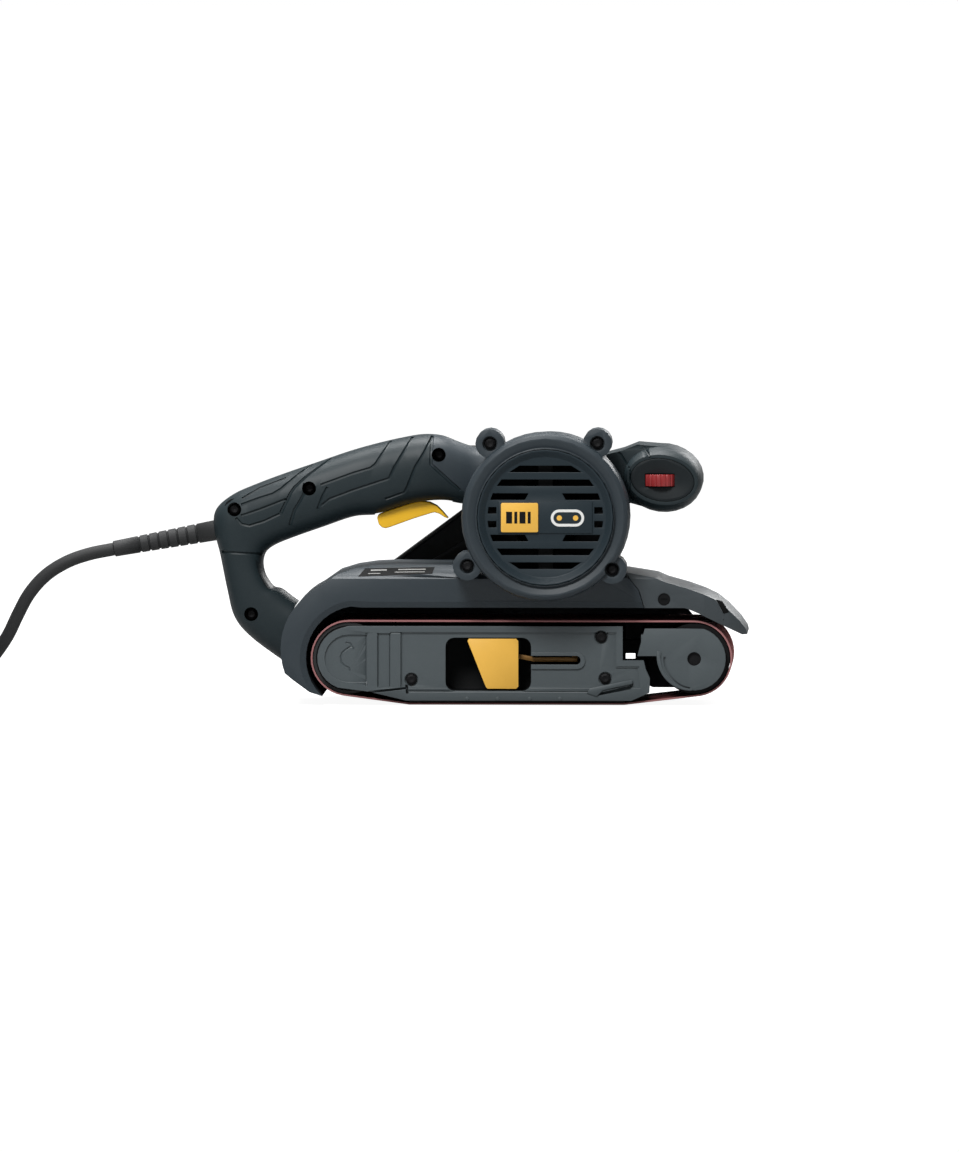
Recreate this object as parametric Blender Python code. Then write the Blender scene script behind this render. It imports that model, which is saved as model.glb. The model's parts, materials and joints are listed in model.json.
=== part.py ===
"""A handheld belt sander, modelled at rest as separate pieces.

Metres, +Z up, +X towards the nose, +Y towards the drive side. The belt can be taken off on the -Y side.
Z = 0 is the flat underside of the sanding belt. Sizes are written in millimetres times MM.
"""

import math

import bmesh
import bpy
from mathutils import Matrix, Vector
from mathutils.geometry import convex_hull_2d

MM = 0.001
GAP = 0.3 * MM  # between pieces that touch
SHARP = math.radians(32)

# ---- Sanding belt and rollers
BELT_WIDTH = 76 * MM
BELT_THICK = 1.0 * MM
ROLLER_R = 20.5 * MM  # the belt's inner face on either roller
ROLLER_LIFT = 4.8 * MM  # the belt on a roller, above the sole
ROLLER_SPACING = 195.5 * MM
DRIVE_X = -74.0 * MM
SOLE_BEHIND = 31.6 * MM  # from the drive axle to the sole's rear edge
SOLE_AHEAD = 36.8 * MM  # from the sole's front edge to the front axle
SOLE_EDGE_R = 3.0 * MM
BELT_GAP = 0.3 * MM  # between the belt's inner face and what it runs over
PAD_THICK = 0.9 * MM
PLATEN_THICK = 1.2 * MM

# ---- Casing
HOOD_MARGIN = 5.0 * MM  # from the belt's open edge to the hood's outer face
WALL_MARGIN = 4.5 * MM  # from the belt's drive edge to the side wall
WALL_THICK = 3.5 * MM
TILT_ROOM = 0.8 * MM  # more room beside the front fork, which tilts
TUNNEL_OVER = 7.3 * MM  # the hood's lower edge above the belt's top run
SCOOP_GAP = 2.4 * MM  # the belt's rear turn to the hood
SCOOP_THICK = 14.0 * MM
HOOD_RISE = 24.0 * MM  # from the hood's lower edge to its top
CREASE_RISE = 16.4 * MM  # from the hood's lower edge to its shoulder
SHOULDER_IN = 12.0 * MM
HOOD_WALL = 3.2 * MM
NOSE_THICK = 3.0 * MM

# ---- Motor
BARREL_R = 47.5 * MM
BARREL_WALL = 3.5 * MM
BARREL_BODY_R = 44.5 * MM  # behind its flange
FLANGE_LONG = 15.3 * MM
BARREL_OVER = 4.7 * MM  # the barrel's lowest line above the hood's lower edge
MOTOR_AHEAD = 112.0 * MM  # of the drive axle
BARREL_OUT = 11.0 * MM  # the barrel's open end beyond the hood's face
COVER_DEPTH = 15.7 * MM
COVER_FACE_IN = 2.9 * MM  # the cover's rounded rim
GRILLE_R = 38.4 * MM
DISH_R = 34.2 * MM
DISH_DEPTH = 3.5 * MM
GRILLE_THICK = 2.6 * MM
SLOT_PITCH = 7.8 * MM
SLOT_HIGH = 3.7 * MM
SLOT_R = 32.6 * MM
BOSS_R = 8.2 * MM
BOSS_HOLE_R = 4.3 * MM
BOSS_LONG = 15.0 * MM
BOSSES = ((55, 51.0 * MM), (127, 52.0 * MM), (212, 52.0 * MM), (322, 47.8 * MM))
SHAFT_R = 4.0 * MM
BEARING_R = 11.0 * MM
BEARING_WIDE = 7.0 * MM
ARMATURE_R = 20.0 * MM
ARMATURE_LONG = 36.0 * MM
STATOR_R = 39.0 * MM
AIR_GAP = 0.6 * MM
COMMUTATOR_R = 12.0 * MM
COMMUTATOR_LONG = 12.0 * MM
FAN_R = 38.0 * MM
FAN_WIDE = 11.0 * MM

# ---- Toothed drive
MOTOR_PULLEY_R = 8.0 * MM
DRIVEN_PULLEY_R = 20.0 * MM
PULLEY_WIDE = 9.0 * MM
TIMING_THICK = 1.4 * MM
DRIVE_COVER_DEEP = 23.7 * MM
DRIVE_COVER_WALL = 2.0 * MM
DRIVE_COVER_REAR_R = 24.0 * MM
DRIVE_COVER_KNEE_R = 27.0 * MM
DRIVE_COVER_MOTOR_R = 29.5 * MM

# ---- Rollers' own parts
DRIVE_SHAFT_R = 5.0 * MM
SLEEVE_THICK = 1.7 * MM
AXLE_R = 4.0 * MM
CHEEK_THICK = 3.7 * MM
CHEEK_R = 17.8 * MM

# ---- Frame inside the belt
PLATE_THICK = 4.5 * MM
PLATE_OUT = 4.0 * MM  # the side plate's outer face beyond the belt's edge
PLATE_UNDER = 2.2 * MM  # the plate's top below the belt
PLATE_Z = 2.5 * MM  # the plate's lower edge
WINDOW_LONG = 48.4 * MM
WINDOW_HIGH = 30.2 * MM
WINDOW_CORNER = 5.0 * MM

# ---- Rear handle
HANDLE_BACK = 2.2 * MM  # the whole handle, from its place by the motor
HANDLE_DOWN = 1.5 * MM
HANDLE_WALL = 2.8 * MM
HANDLE_HALF = 18.5 * MM  # half of the grip's width
HANDLE_BOSS_R = 5.6 * MM
HANDLE_SCREW_HOLE_R = 4.0 * MM
TRIGGER_HALF = 7.5 * MM

# ---- Front handle
GRIP_HALF = 36.0 * MM
GRIP_LONG_R = 22.5 * MM
GRIP_HIGH_R = 18.6 * MM
DIAL_R = 9.0 * MM
DIAL_THICK = 6.6 * MM

# ---- Dust outlet and cord
OUTLET_R = 15.0 * MM
OUTLET_WALL = 2.2 * MM
CORD_R = 3.7 * MM
GUARD_LONG = 62.0 * MM
GUARD_ROOT_R = 5.9 * MM
GUARD_TIP_R = 4.5 * MM

# ---- Places that follow from the sizes above
BELT_HALF = BELT_WIDTH / 2
AXLE_Z = ROLLER_LIFT + BELT_THICK + ROLLER_R
FRONT_X = DRIVE_X + ROLLER_SPACING
SOLE_REAR_X = DRIVE_X + SOLE_BEHIND
SOLE_FRONT_X = FRONT_X - SOLE_AHEAD
BELT_TOP_Z = AXLE_Z + ROLLER_R + BELT_THICK
SKIRT_Z = BELT_TOP_Z + TUNNEL_OVER
CREASE_Z = SKIRT_Z + CREASE_RISE
HOOD_TOP_Z = SKIRT_Z + HOOD_RISE
HOOD_RIGHT = -(BELT_HALF + HOOD_MARGIN)
WALL_IN = BELT_HALF + WALL_MARGIN
HOOD_LEFT = WALL_IN + WALL_THICK
MOTOR_X = DRIVE_X + MOTOR_AHEAD
MOTOR_Z = SKIRT_Z + BARREL_OVER + BARREL_R
BARREL_RIGHT = HOOD_RIGHT - BARREL_OUT
COVER_FACE = BARREL_RIGHT - GAP - COVER_DEPTH
PLATE_FACE = -(BELT_HALF + PLATE_OUT)
PLATE_BACK = PLATE_FACE + PLATE_THICK
PLATE_TOP_Z = AXLE_Z + ROLLER_R - PLATE_UNDER
SEAM_X = FRONT_X - 28.0 * MM  # the nose's seam at the skirt
SEAM_LEAN = 11.0 * MM
FRAME_Z = BELT_THICK + BELT_GAP + PAD_THICK + PLATEN_THICK + 2 * GAP
WALL_FRONT_X = FRONT_X - 42.4 * MM
FRAME_FRONT_X = FRONT_X - 40.4 * MM


# ======== Tools for building closed shapes ========


def material(name, colour, roughness, metallic=0.0):
    made = bpy.data.materials.new(name)
    made.use_nodes = True
    shader = made.node_tree.nodes["Principled BSDF"]
    shader.inputs["Base Color"].default_value = (*colour, 1)
    shader.inputs["Roughness"].default_value = roughness
    shader.inputs["Metallic"].default_value = metallic
    made.diffuse_color = (*colour, 1)
    return made


def solid(name, bm, finish=None):
    """An object from a closed bmesh, with its faces pointing out."""
    bmesh.ops.remove_doubles(bm, verts=bm.verts, dist=1e-7)
    bmesh.ops.recalc_face_normals(bm, faces=bm.faces)
    mesh = bpy.data.meshes.new(name)
    bm.to_mesh(mesh)
    bm.free()
    made = bpy.data.objects.new(name, mesh)
    bpy.context.scene.collection.objects.link(made)
    if finish:
        mesh.materials.append(finish)
    return made


def prism(name, outline, low, high, axis="Y", finish=None):
    """A flat outline swept along an axis. The outline holds (x, z) for Y, (y, z) for X and (x, y) for Z."""
    place = {
        "X": lambda a, b, c: (c, a, b),
        "Y": lambda a, b, c: (a, c, b),
        "Z": lambda a, b, c: (a, b, c),
    }[axis]
    bm = bmesh.new()
    ends = [[bm.verts.new(place(a, b, c)) for a, b in outline] for c in (low, high)]
    for ring in ends:
        bm.faces.new(ring)
    count = len(outline)
    for i in range(count):
        j = (i + 1) % count
        bm.faces.new((ends[0][i], ends[0][j], ends[1][j], ends[1][i]))
    return solid(name, bm, finish)


def circle(x, z, radius, count=32, start=0.0):
    """Points of a circle, anticlockwise."""
    step = 2 * math.pi / count
    return [
        (x + radius * math.cos(start + i * step), z + radius * math.sin(start + i * step))
        for i in range(count)
    ]


def arc(x, z, radius, start_deg, end_deg, count):
    """Points of an arc, both ends included."""
    steps = [math.radians(start_deg + (end_deg - start_deg) * i / count) for i in range(count + 1)]
    return [(x + radius * math.cos(a), z + radius * math.sin(a)) for a in steps]


def rod(name, x, z, radius, low, high, axis="Y", count=32, finish=None):
    """A cylinder along an axis: x and z are its place across that axis, in the order that prism takes."""
    return prism(name, circle(x, z, radius, count), low, high, axis, finish)


def box_outline(x0, x1, z0, z1):
    """The four corners of an upright rectangle, whichever of x0 and x1 is the lower."""
    low, high = min(x0, x1), max(x0, x1)
    return [(low, z0), (high, z0), (high, z1), (low, z1)]


def rounded(low_x, low_z, high_x, high_z, radius, count=4):
    """A rectangle with round corners."""
    points = []
    for x, z, start in (
        (high_x - radius, high_z - radius, 0),
        (low_x + radius, high_z - radius, 90),
        (low_x + radius, low_z + radius, 180),
        (high_x - radius, low_z + radius, 270),
    ):
        points += arc(x, z, radius, start, start + 90, count)
    return points


def around(discs, out=0.0, count=40):
    """The tight loop round several discs (x, z, radius), each grown by out."""
    points = [Vector(p) for x, z, r in discs for p in circle(x, z, r + out, count)]
    return [tuple(points[i]) for i in convex_hull_2d(points)]


def turned(name, profile, x, z, count=32, finish=None, phase=0.0):
    """A closed profile of (radius, y) points, turned about the line along Y through x, z."""
    bm = bmesh.new()
    rings = []
    for i in range(count):
        a = phase + 2 * math.pi * i / count
        rings.append(
            [bm.verts.new((x + r * math.cos(a), y, z + r * math.sin(a))) for r, y in profile]
        )
    size = len(profile)
    for i in range(count):
        here, there = rings[i], rings[(i + 1) % count]
        for j in range(size):
            k = (j + 1) % size
            if profile[j][0] or profile[k][0]:
                bm.faces.new((here[j], here[k], there[k], there[j]))
    bmesh.ops.remove_doubles(bm, verts=bm.verts, dist=1e-7)
    return solid(name, bm, finish)


def ring(name, x, z, inner, outer, low, high, count=32, finish=None):
    """A tube along Y."""
    profile = [(inner, low), (outer, low), (outer, high), (inner, high)]
    return turned(name, profile, x, z, count, finish)


def lofted(name, rings, finish=None):
    """A closed shape through rings of as many points each."""
    bm = bmesh.new()
    made = [[bm.verts.new(p) for p in points] for points in rings]
    bm.faces.new(made[0])
    bm.faces.new(made[-1])
    for here, there in zip(made, made[1:]):
        for i in range(len(here)):
            j = (i + 1) % len(here)
            bm.faces.new((here[i], here[j], there[j], there[i]))
    return solid(name, bm, finish)


def combine(body, tool, operation):
    """Applies a Boolean with tool to body, and removes the tool."""
    modifier = body.modifiers.new(operation, "BOOLEAN")
    modifier.operation = operation
    modifier.solver = "EXACT"
    modifier.object = tool
    bpy.context.view_layer.update()
    graph = bpy.context.evaluated_depsgraph_get()
    made = bpy.data.meshes.new_from_object(body.evaluated_get(graph))
    body.modifiers.clear()
    body.data = made
    bpy.data.objects.remove(tool)
    return body


def cut(body, *tools):
    for tool in tools:
        combine(body, tool, "DIFFERENCE")
    return body


def join(body, *tools):
    for tool in tools:
        combine(body, tool, "UNION")
    return body


def common(body, tool):
    return combine(body, tool, "INTERSECT")


def pivot(piece, x, y, z):
    """Puts a moving piece's origin on its joint's axis."""
    piece.data.transform(Matrix.Translation((-x, -y, -z)))
    piece.location = (x, y, z)
    return piece


def screw(name, x, z, head_y, tip_y, head_r=3.4 * MM, shank_r=1.8 * MM, head_long=2.6 * MM):
    """A pan-head screw along Y, driven from the -Y side."""
    head_back = head_y + head_long
    profile = [
        (0, head_y + 0.2 * head_long),
        (0.55 * head_r, head_y + 0.05 * head_long),
        (0.9 * head_r, head_y + 0.35 * head_long),
        (head_r, head_back),
        (shank_r, head_back),
        (shank_r, tip_y - shank_r),
        (0, tip_y),
    ]
    return turned(name, profile, x, z, 10, STEEL)


# ======== Materials ========

for old in list(bpy.data.objects):
    bpy.data.objects.remove(old)

CASING = material("casing_plastic", (0.055, 0.075, 0.085), 0.42)
CASING_LIGHT = material("nose_plastic", (0.085, 0.1, 0.11), 0.4)
GRIP_RUBBER = material("grip_rubber", (0.03, 0.048, 0.055), 0.6)
GREY_METAL = material("grey_casting", (0.1, 0.12, 0.13), 0.5)
YELLOW = material("yellow_plastic", (0.9, 0.52, 0.06), 0.4)
TRIGGER_YELLOW = material("trigger_plastic", (0.85, 0.47, 0.02), 0.35)
RED = material("red_plastic", (0.35, 0.02, 0.02), 0.3)
BLACK = material("black_plastic", (0.01, 0.01, 0.011), 0.55)
BLACK_RUBBER = material("black_rubber", (0.012, 0.012, 0.012), 0.75)
ABRASIVE = material("abrasive_cloth", (0.16, 0.025, 0.02), 0.95)
STEEL = material("steel", (0.5, 0.5, 0.5), 0.35, 1.0)
ALUMINIUM = material("aluminium", (0.6, 0.6, 0.62), 0.4, 1.0)
GRAPHITE = material("graphite_cloth", (0.03, 0.03, 0.03), 0.7)


# ======== Sanding belt, platen and pad ========


def belt_discs():
    """What the belt runs over: both rollers and the two edges of the sole."""
    edge_z = BELT_THICK + SOLE_EDGE_R
    return [
        (DRIVE_X, AXLE_Z, ROLLER_R),
        (FRONT_X, AXLE_Z, ROLLER_R),
        (SOLE_REAR_X + SOLE_EDGE_R, edge_z, SOLE_EDGE_R),
        (SOLE_FRONT_X - SOLE_EDGE_R, edge_z, SOLE_EDGE_R),
    ]


def build_belt():
    outer = around(belt_discs(), BELT_THICK, 40)
    belt = prism("sanding_belt", outer, -BELT_HALF, BELT_HALF, finish=ABRASIVE)
    inner = prism("inside", around(belt_discs(), 0.0, 40), -BELT_HALF - MM, BELT_HALF + MM)
    return cut(belt, inner)


def build_sole():
    pad_z = BELT_THICK + BELT_GAP
    steel_z = pad_z + PAD_THICK + GAP
    half = BELT_HALF - 1.5 * MM
    ends = (SOLE_REAR_X + SOLE_EDGE_R, SOLE_FRONT_X - SOLE_EDGE_R)
    prism("sole_pad", [(ends[0], pad_z), (ends[1], pad_z), (ends[1], pad_z + PAD_THICK),
                       (ends[0], pad_z + PAD_THICK)],
          -half, half, finish=GRAPHITE)
    prism("platen", [(ends[0], steel_z), (ends[1], steel_z), (ends[1], steel_z + PLATEN_THICK),
                     (ends[0], steel_z + PLATEN_THICK)],
          -half, half, finish=STEEL)


# ======== Frame and side plate inside the belt ========


def plate_outline(inset=0.0):
    """The side plate from the side: a round rear end, a long body, and a lobe under the front yoke."""
    rear_r = ROLLER_R - 2.9 * MM - inset
    top, low = PLATE_TOP_Z - inset, PLATE_Z + inset
    step_z = AXLE_Z - 0.9 * MM - inset
    front = FRAME_FRONT_X - inset
    points = arc(DRIVE_X, AXLE_Z, rear_r, 250, 104, 12)
    points += [
        (DRIVE_X, top),
        (front, top),
        (front, step_z),
        (front + 11.9 * MM, step_z),
        (front + 13.0 * MM, step_z - 4.8 * MM),
        (front + 15.4 * MM, step_z - 10.0 * MM),
        (front + 15.1 * MM, low + 4.6 * MM),
        (front + 4.8 * MM, low),
        (SOLE_REAR_X + MM, low),
        (DRIVE_X + 12 * MM, low + 4.9 * MM),
    ]
    return points


WINDOW_X = DRIVE_X + 54.9 * MM
WINDOW_Z = AXLE_Z - 18.4 * MM
GUIDE_X = WINDOW_X + WINDOW_LONG
PLATE_SCREWS = (
    (DRIVE_X + 35.6 * MM, AXLE_Z - 11.9 * MM),
    (FRAME_FRONT_X - 12.2 * MM, PLATE_TOP_Z - 6.1 * MM),
    (FRAME_FRONT_X - 9.9 * MM, AXLE_Z - 11.3 * MM),
)
PLATE_HOLE_R = 3.9 * MM


def window(grow=0.0):
    return rounded(WINDOW_X - grow, WINDOW_Z - grow, WINDOW_X + WINDOW_LONG + grow,
                   WINDOW_Z + WINDOW_HIGH + grow, WINDOW_CORNER)


def build_side_plate():
    plate = prism("side_plate", plate_outline(), PLATE_FACE, PLATE_BACK, finish=GREY_METAL)
    deep = PLATE_FACE + 1.2 * MM
    top, low = PLATE_TOP_Z - 4.0 * MM, PLATE_Z + 7.0 * MM
    d_right = DRIVE_X + 10.5 * MM
    d_shape = arc(DRIVE_X, AXLE_Z, ROLLER_R - 7.0 * MM, 270, 90,
                  12) + [(d_right, AXLE_Z + ROLLER_R - 7.0 * MM),
                                                                       (d_right,
                                                                        AXLE_Z - ROLLER_R + 7.0 * MM)]
    slot_x = d_right + 5.8 * MM
    panel_x = slot_x + 13.2 * MM
    panel_r = FRAME_FRONT_X - 4.0 * MM
    panel = [(panel_x, low), (panel_x, top), (panel_r, top), (panel_r, AXLE_Z - 5 * MM),
             (panel_r + 12.5 * MM, AXLE_Z - 5 * MM), (panel_r + 14 * MM, low)]
    cut(
        plate,
        prism("d_recess", d_shape, PLATE_FACE - MM, deep),
        prism("slot_recess", rounded(slot_x, low, slot_x + 7.5 * MM, top, MM, 2), PLATE_FACE - MM, deep),
        prism("panel_recess", panel, PLATE_FACE - MM, deep),
        prism("window", window(), PLATE_FACE - 5 * MM, PLATE_BACK + 5 * MM),
    )
    guide = rounded(GUIDE_X - 4 * MM, AXLE_Z - 5.9 * MM, GUIDE_X + 30.6 * MM, AXLE_Z + 3.4 * MM, 4.6 * MM,
                    5)
    guide_ring = prism("guide", guide, PLATE_FACE + 0.2 * MM, PLATE_BACK - 0.5 * MM)
    cut(guide_ring, prism("window", window(), PLATE_FACE - 5 * MM, PLATE_BACK + 5 * MM))
    join(plate, guide_ring)
    slot = rounded(GUIDE_X - 6 * MM, AXLE_Z - 3.4 * MM, GUIDE_X + 28 * MM, AXLE_Z + 1.6 * MM, 2.4 * MM, 4)
    cut(plate, prism("rod_slot", slot, PLATE_FACE - 5 * MM, PLATE_BACK + 5 * MM))
    for x, z in PLATE_SCREWS:
        cut(plate, rod("screw_well", x, z, PLATE_HOLE_R, PLATE_FACE - MM, PLATE_FACE + 3.1 * MM, count=20),
            rod("screw_hole", x, z, 1.8 * MM + GAP, PLATE_FACE - MM, PLATE_BACK + MM, count=12))
    rear_slit = [(DRIVE_X + 11 * MM, PLATE_Z + 4.0 * MM), (DRIVE_X + 11.5 * MM, PLATE_Z + 5.4 * MM),
                 (DRIVE_X + 33 * MM, PLATE_Z + 7.6 * MM), (DRIVE_X + 33 * MM, PLATE_Z + 6.4 * MM)]
    front_x = FRAME_FRONT_X - 15 * MM
    front_slit = [(front_x, PLATE_Z + 2.7 * MM), (front_x, PLATE_Z + 4.2 * MM),
                  (front_x + 19 * MM, PLATE_Z + 8.3 * MM),
                  (front_x + 20 * MM, PLATE_Z + 6.6 * MM)]
    cut(plate, prism("rear_slit", rear_slit, PLATE_FACE - MM, PLATE_FACE + 2.6 * MM),
        prism("front_slit", front_slit, PLATE_FACE - MM, PLATE_FACE + 2.6 * MM))
    hub = ring("hub", DRIVE_X, AXLE_Z, DRIVE_SHAFT_R + GAP, 10 * MM, PLATE_BACK - MM, PLATE_BACK + 8 * MM)
    return join(plate, hub)


def build_frame():
    """The chassis: a casting open at both sides of the lever, with a guide for the yoke's slider."""
    rear = DRIVE_X + ROLLER_R + 4 * MM
    outline = [(rear, PLATE_TOP_Z - MM), (FRAME_FRONT_X, PLATE_TOP_Z - MM),
               (FRAME_FRONT_X, AXLE_Z - 4 * MM),
               (FRAME_FRONT_X + 13 * MM, AXLE_Z - 4 * MM), (FRAME_FRONT_X + 13 * MM, FRAME_Z + 5 * MM),
               (FRAME_FRONT_X + 2 * MM, FRAME_Z), (SOLE_REAR_X + 3 * MM, FRAME_Z), (rear, AXLE_Z - 17 * MM)]
    frame = prism("belt_frame", outline, PLATE_BACK + GAP, WALL_IN - GAP, finish=GREY_METAL)
    cut(frame, prism("pocket", window(-0.2 * MM), PLATE_BACK - MM, PLATE_BACK + 20 * MM))
    cavity = box_outline(GUIDE_X + 2 * MM, FRAME_FRONT_X + 20 * MM, FRAME_Z + 5 * MM,
                         PLATE_TOP_Z - 3.4 * MM)
    cut(frame, prism("cavity", cavity, PLATE_BACK + 4.5 * MM, WALL_IN - 6 * MM))
    rod_way = box_outline(WINDOW_X + 20 * MM, GUIDE_X + 28 * MM, AXLE_Z - 3.6 * MM, AXLE_Z + 1.8 * MM)
    cut(frame, prism("rod_way", rod_way, PLATE_BACK - MM, PLATE_BACK + 9 * MM))
    for x, z in PLATE_SCREWS:
        cut(frame, rod("screw_hole", x, z, 1.8 * MM + GAP, PLATE_BACK - MM, PLATE_BACK + 13 * MM, count=12))
    hollow = [(rear + 4 * MM, AXLE_Z - 12 * MM), (SOLE_REAR_X + 6 * MM, FRAME_Z + 4 * MM),
              (GUIDE_X - 2 * MM, FRAME_Z + 4 * MM),
              (GUIDE_X - 2 * MM, PLATE_TOP_Z - 5 * MM), (rear + 4 * MM, PLATE_TOP_Z - 5 * MM)]
    cut(frame, prism("rear_hollow", hollow, PLATE_BACK + 23 * MM, WALL_IN + MM))
    return join(frame, rod("lever_pin", LEVER_X, LEVER_Y, LEVER_PIN_R, FRAME_Z + MM, PLATE_TOP_Z - 2 * MM,
                           "Z", 12))


# ======== Tension lever, rod, slider, yoke and spring ========

LEVER_X = GUIDE_X - 9.0 * MM
LEVER_Y = PLATE_BACK + 1.5 * MM
LEVER_PIN_R = 1.4 * MM
LEVER_FACE = PLATE_FACE + 1.4 * MM
LEVER_THICK = 2.4 * MM
ROD_Y = PLATE_BACK + 6.2 * MM
ROD_HALF = 1.3 * MM
SLIDER_HALF = 11.0 * MM
SLIDER_LOW = AXLE_Z + 2.8 * MM
SLIDER_HIGH = PLATE_TOP_Z - 4.2 * MM
SLIDER_REAR = GUIDE_X + 30 * MM
YOKE_PIN_X = FRONT_X - 27.0 * MM
CHEEK_OUT = PLATE_FACE


def build_lever():
    low, high = WINDOW_Z + 1.3 * MM, WINDOW_Z + WINDOW_HIGH - 0.6 * MM
    right = LEVER_X + 1.8 * MM
    flap = [(right, low + 1.2 * MM), (right, high - 1.2 * MM), (right - 1.2 * MM, high),
            (right - 28.0 * MM, high),
            (right - 28.8 * MM, high - 1.2 * MM), (right - 18.4 * MM, low + 1.0 * MM),
            (right - 17.4 * MM, low),
            (right - 1.2 * MM, low)]
    lever = prism("tension_lever", flap, LEVER_FACE, LEVER_FACE + LEVER_THICK, finish=YELLOW)
    for z in (low + 0.4 * MM, high - 7.4 * MM):
        knuckle = rod("knuckle", LEVER_X, LEVER_Y, 2.9 * MM, z, z + 7 * MM, "Z", 16)
        join(lever, knuckle)
    cut(lever, rod("bore", LEVER_X, LEVER_Y, LEVER_PIN_R + 0.15 * MM, low - 5 * MM, high + 5 * MM, "Z", 16))
    pivot(lever, LEVER_X, LEVER_Y, AXLE_Z)


def build_tension_rod():
    """The flat rod from the lever to the slider, with its foot turned in behind the slider's lug."""
    z = AXLE_Z - 0.9 * MM
    start, bend = WINDOW_X + 26 * MM, GUIDE_X + 1.5 * MM
    line = [(start, z + 1.6 * MM), (GUIDE_X - 6 * MM, z + 1.6 * MM), (bend, z), (GUIDE_X + 26 * MM, z)]
    outline = [(x, h - ROD_HALF) for x, h in line] + [(x, h + ROD_HALF) for x, h in reversed(line)]
    bar = prism("tension_rod", outline, ROD_Y - ROD_HALF, ROD_Y + ROD_HALF, finish=YELLOW)
    end = GUIDE_X + 26 * MM
    foot = box_outline(end - 3 * MM, end, z - ROD_HALF, SLIDER_HIGH - 3 * MM)
    join(bar, prism("foot", foot, ROD_Y - ROD_HALF + 0.2 * MM, -SLIDER_HALF + 4 * MM))
    return bar


def build_slider():
    """The slider that carries the yoke: a block with a pin standing up for the yoke to turn on."""
    outline = box_outline(SLIDER_REAR, YOKE_PIN_X + 4 * MM, SLIDER_LOW, SLIDER_LOW + 6 * MM)
    slider = prism("yoke_slider", outline, -SLIDER_HALF, SLIDER_HALF, finish=ALUMINIUM)
    join(slider, rod("pin", YOKE_PIN_X, 0, 2.5 * MM, SLIDER_LOW + MM, SLIDER_HIGH - MM, "Z", 16))
    lug = box_outline(SLIDER_REAR - 3.6 * MM, SLIDER_REAR + 2 * MM, SLIDER_LOW, SLIDER_HIGH - MM)
    join(slider, prism("lug", lug, -SLIDER_HALF, SLIDER_HALF))
    return slider


def cheek_outline():
    """A cheek of the yoke from the side: a disc round the axle, an arm to the rear, and a raised heel."""
    top = PLATE_TOP_Z - 1.2 * MM
    points = arc(FRONT_X, AXLE_Z, CHEEK_R, -98, 72, 16)
    points += [(FRONT_X - 4 * MM, top), (FRONT_X - 27.9 * MM, top),
               (FRONT_X - 32.1 * MM, AXLE_Z + 1.6 * MM),
               (FRONT_X - 20.9 * MM, AXLE_Z + 1.6 * MM)]
    for i in range(8):
        angle = math.radians(182 + 80 * i / 8)
        reach = CHEEK_R + 3.1 * MM * (1 - i / 8)
        points.append((FRONT_X + reach * math.cos(angle), AXLE_Z + reach * math.sin(angle)))
    return points


def build_yoke():
    yoke = prism("front_yoke", cheek_outline(), CHEEK_OUT, CHEEK_OUT + CHEEK_THICK, finish=GREY_METAL)
    bar_low = SLIDER_LOW + 6 * MM + GAP
    bar = [(FRONT_X - 30 * MM, bar_low), (FRONT_X - ROLLER_R - 1.2 * MM, bar_low),
           (FRONT_X - ROLLER_R - 1.2 * MM, SLIDER_HIGH - 0.5 * MM),
           (FRONT_X - 30 * MM, SLIDER_HIGH - 0.5 * MM)]
    join(yoke, prism("bar", bar, CHEEK_OUT + MM, -CHEEK_OUT - MM))
    join(yoke, prism("left_cheek", cheek_outline(), -CHEEK_OUT - CHEEK_THICK, -CHEEK_OUT))
    cut(yoke, rod("axle_bore", FRONT_X, AXLE_Z, AXLE_R + 0.15 * MM, CHEEK_OUT + 1.5 * MM,
                  -CHEEK_OUT - 1.5 * MM, count=20),
        rod("axle_mark", FRONT_X, AXLE_Z, 3.9 * MM, CHEEK_OUT - MM, CHEEK_OUT + 1.8 * MM, count=20),
        rod("pin_bore", YOKE_PIN_X, 0, 2.5 * MM + 0.3 * MM, SLIDER_LOW, PLATE_TOP_Z, "Z", 16))
    heel = [p for p in arc(FRONT_X, AXLE_Z, CHEEK_R - 0.4 * MM, 176, 262, 10)]
    heel += [p for p in reversed(arc(FRONT_X, AXLE_Z, CHEEK_R - 1.6 * MM, 176, 262, 10))]
    cut(yoke, prism("heel_groove", heel, CHEEK_OUT - MM, CHEEK_OUT + 1.2 * MM))
    rod("front_axle", FRONT_X, AXLE_Z, AXLE_R, CHEEK_OUT + 2.0 * MM, -CHEEK_OUT - 2.0 * MM, count=20,
        finish=STEEL)
    return pivot(yoke, YOKE_PIN_X, 0, AXLE_Z)


def build_spring():
    """The compression spring that pushes the slider forward."""
    radius, wire, turns = 3.4 * MM, 0.7 * MM, 6
    start, end = GUIDE_X + 4.5 * MM, SLIDER_REAR - 3.6 * MM - wire - GAP
    z = (SLIDER_LOW + SLIDER_HIGH) / 2
    steps = turns * 7
    rings = []
    for i in range(steps + 1):
        share = i / steps
        angle = 2 * math.pi * turns * share
        x = start + (end - start) * share
        out = Vector((0, math.cos(angle), math.sin(angle)))
        centre = Vector((x, 0, z)) + out * radius
        rings.append([centre + out * wire * math.cos(b) + Vector((wire * math.sin(b), 0, 0))
                      for b in (2 * math.pi * k / 4 for k in range(4))])
    return lofted("tension_spring", rings, STEEL)


# ======== Rollers ========


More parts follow.
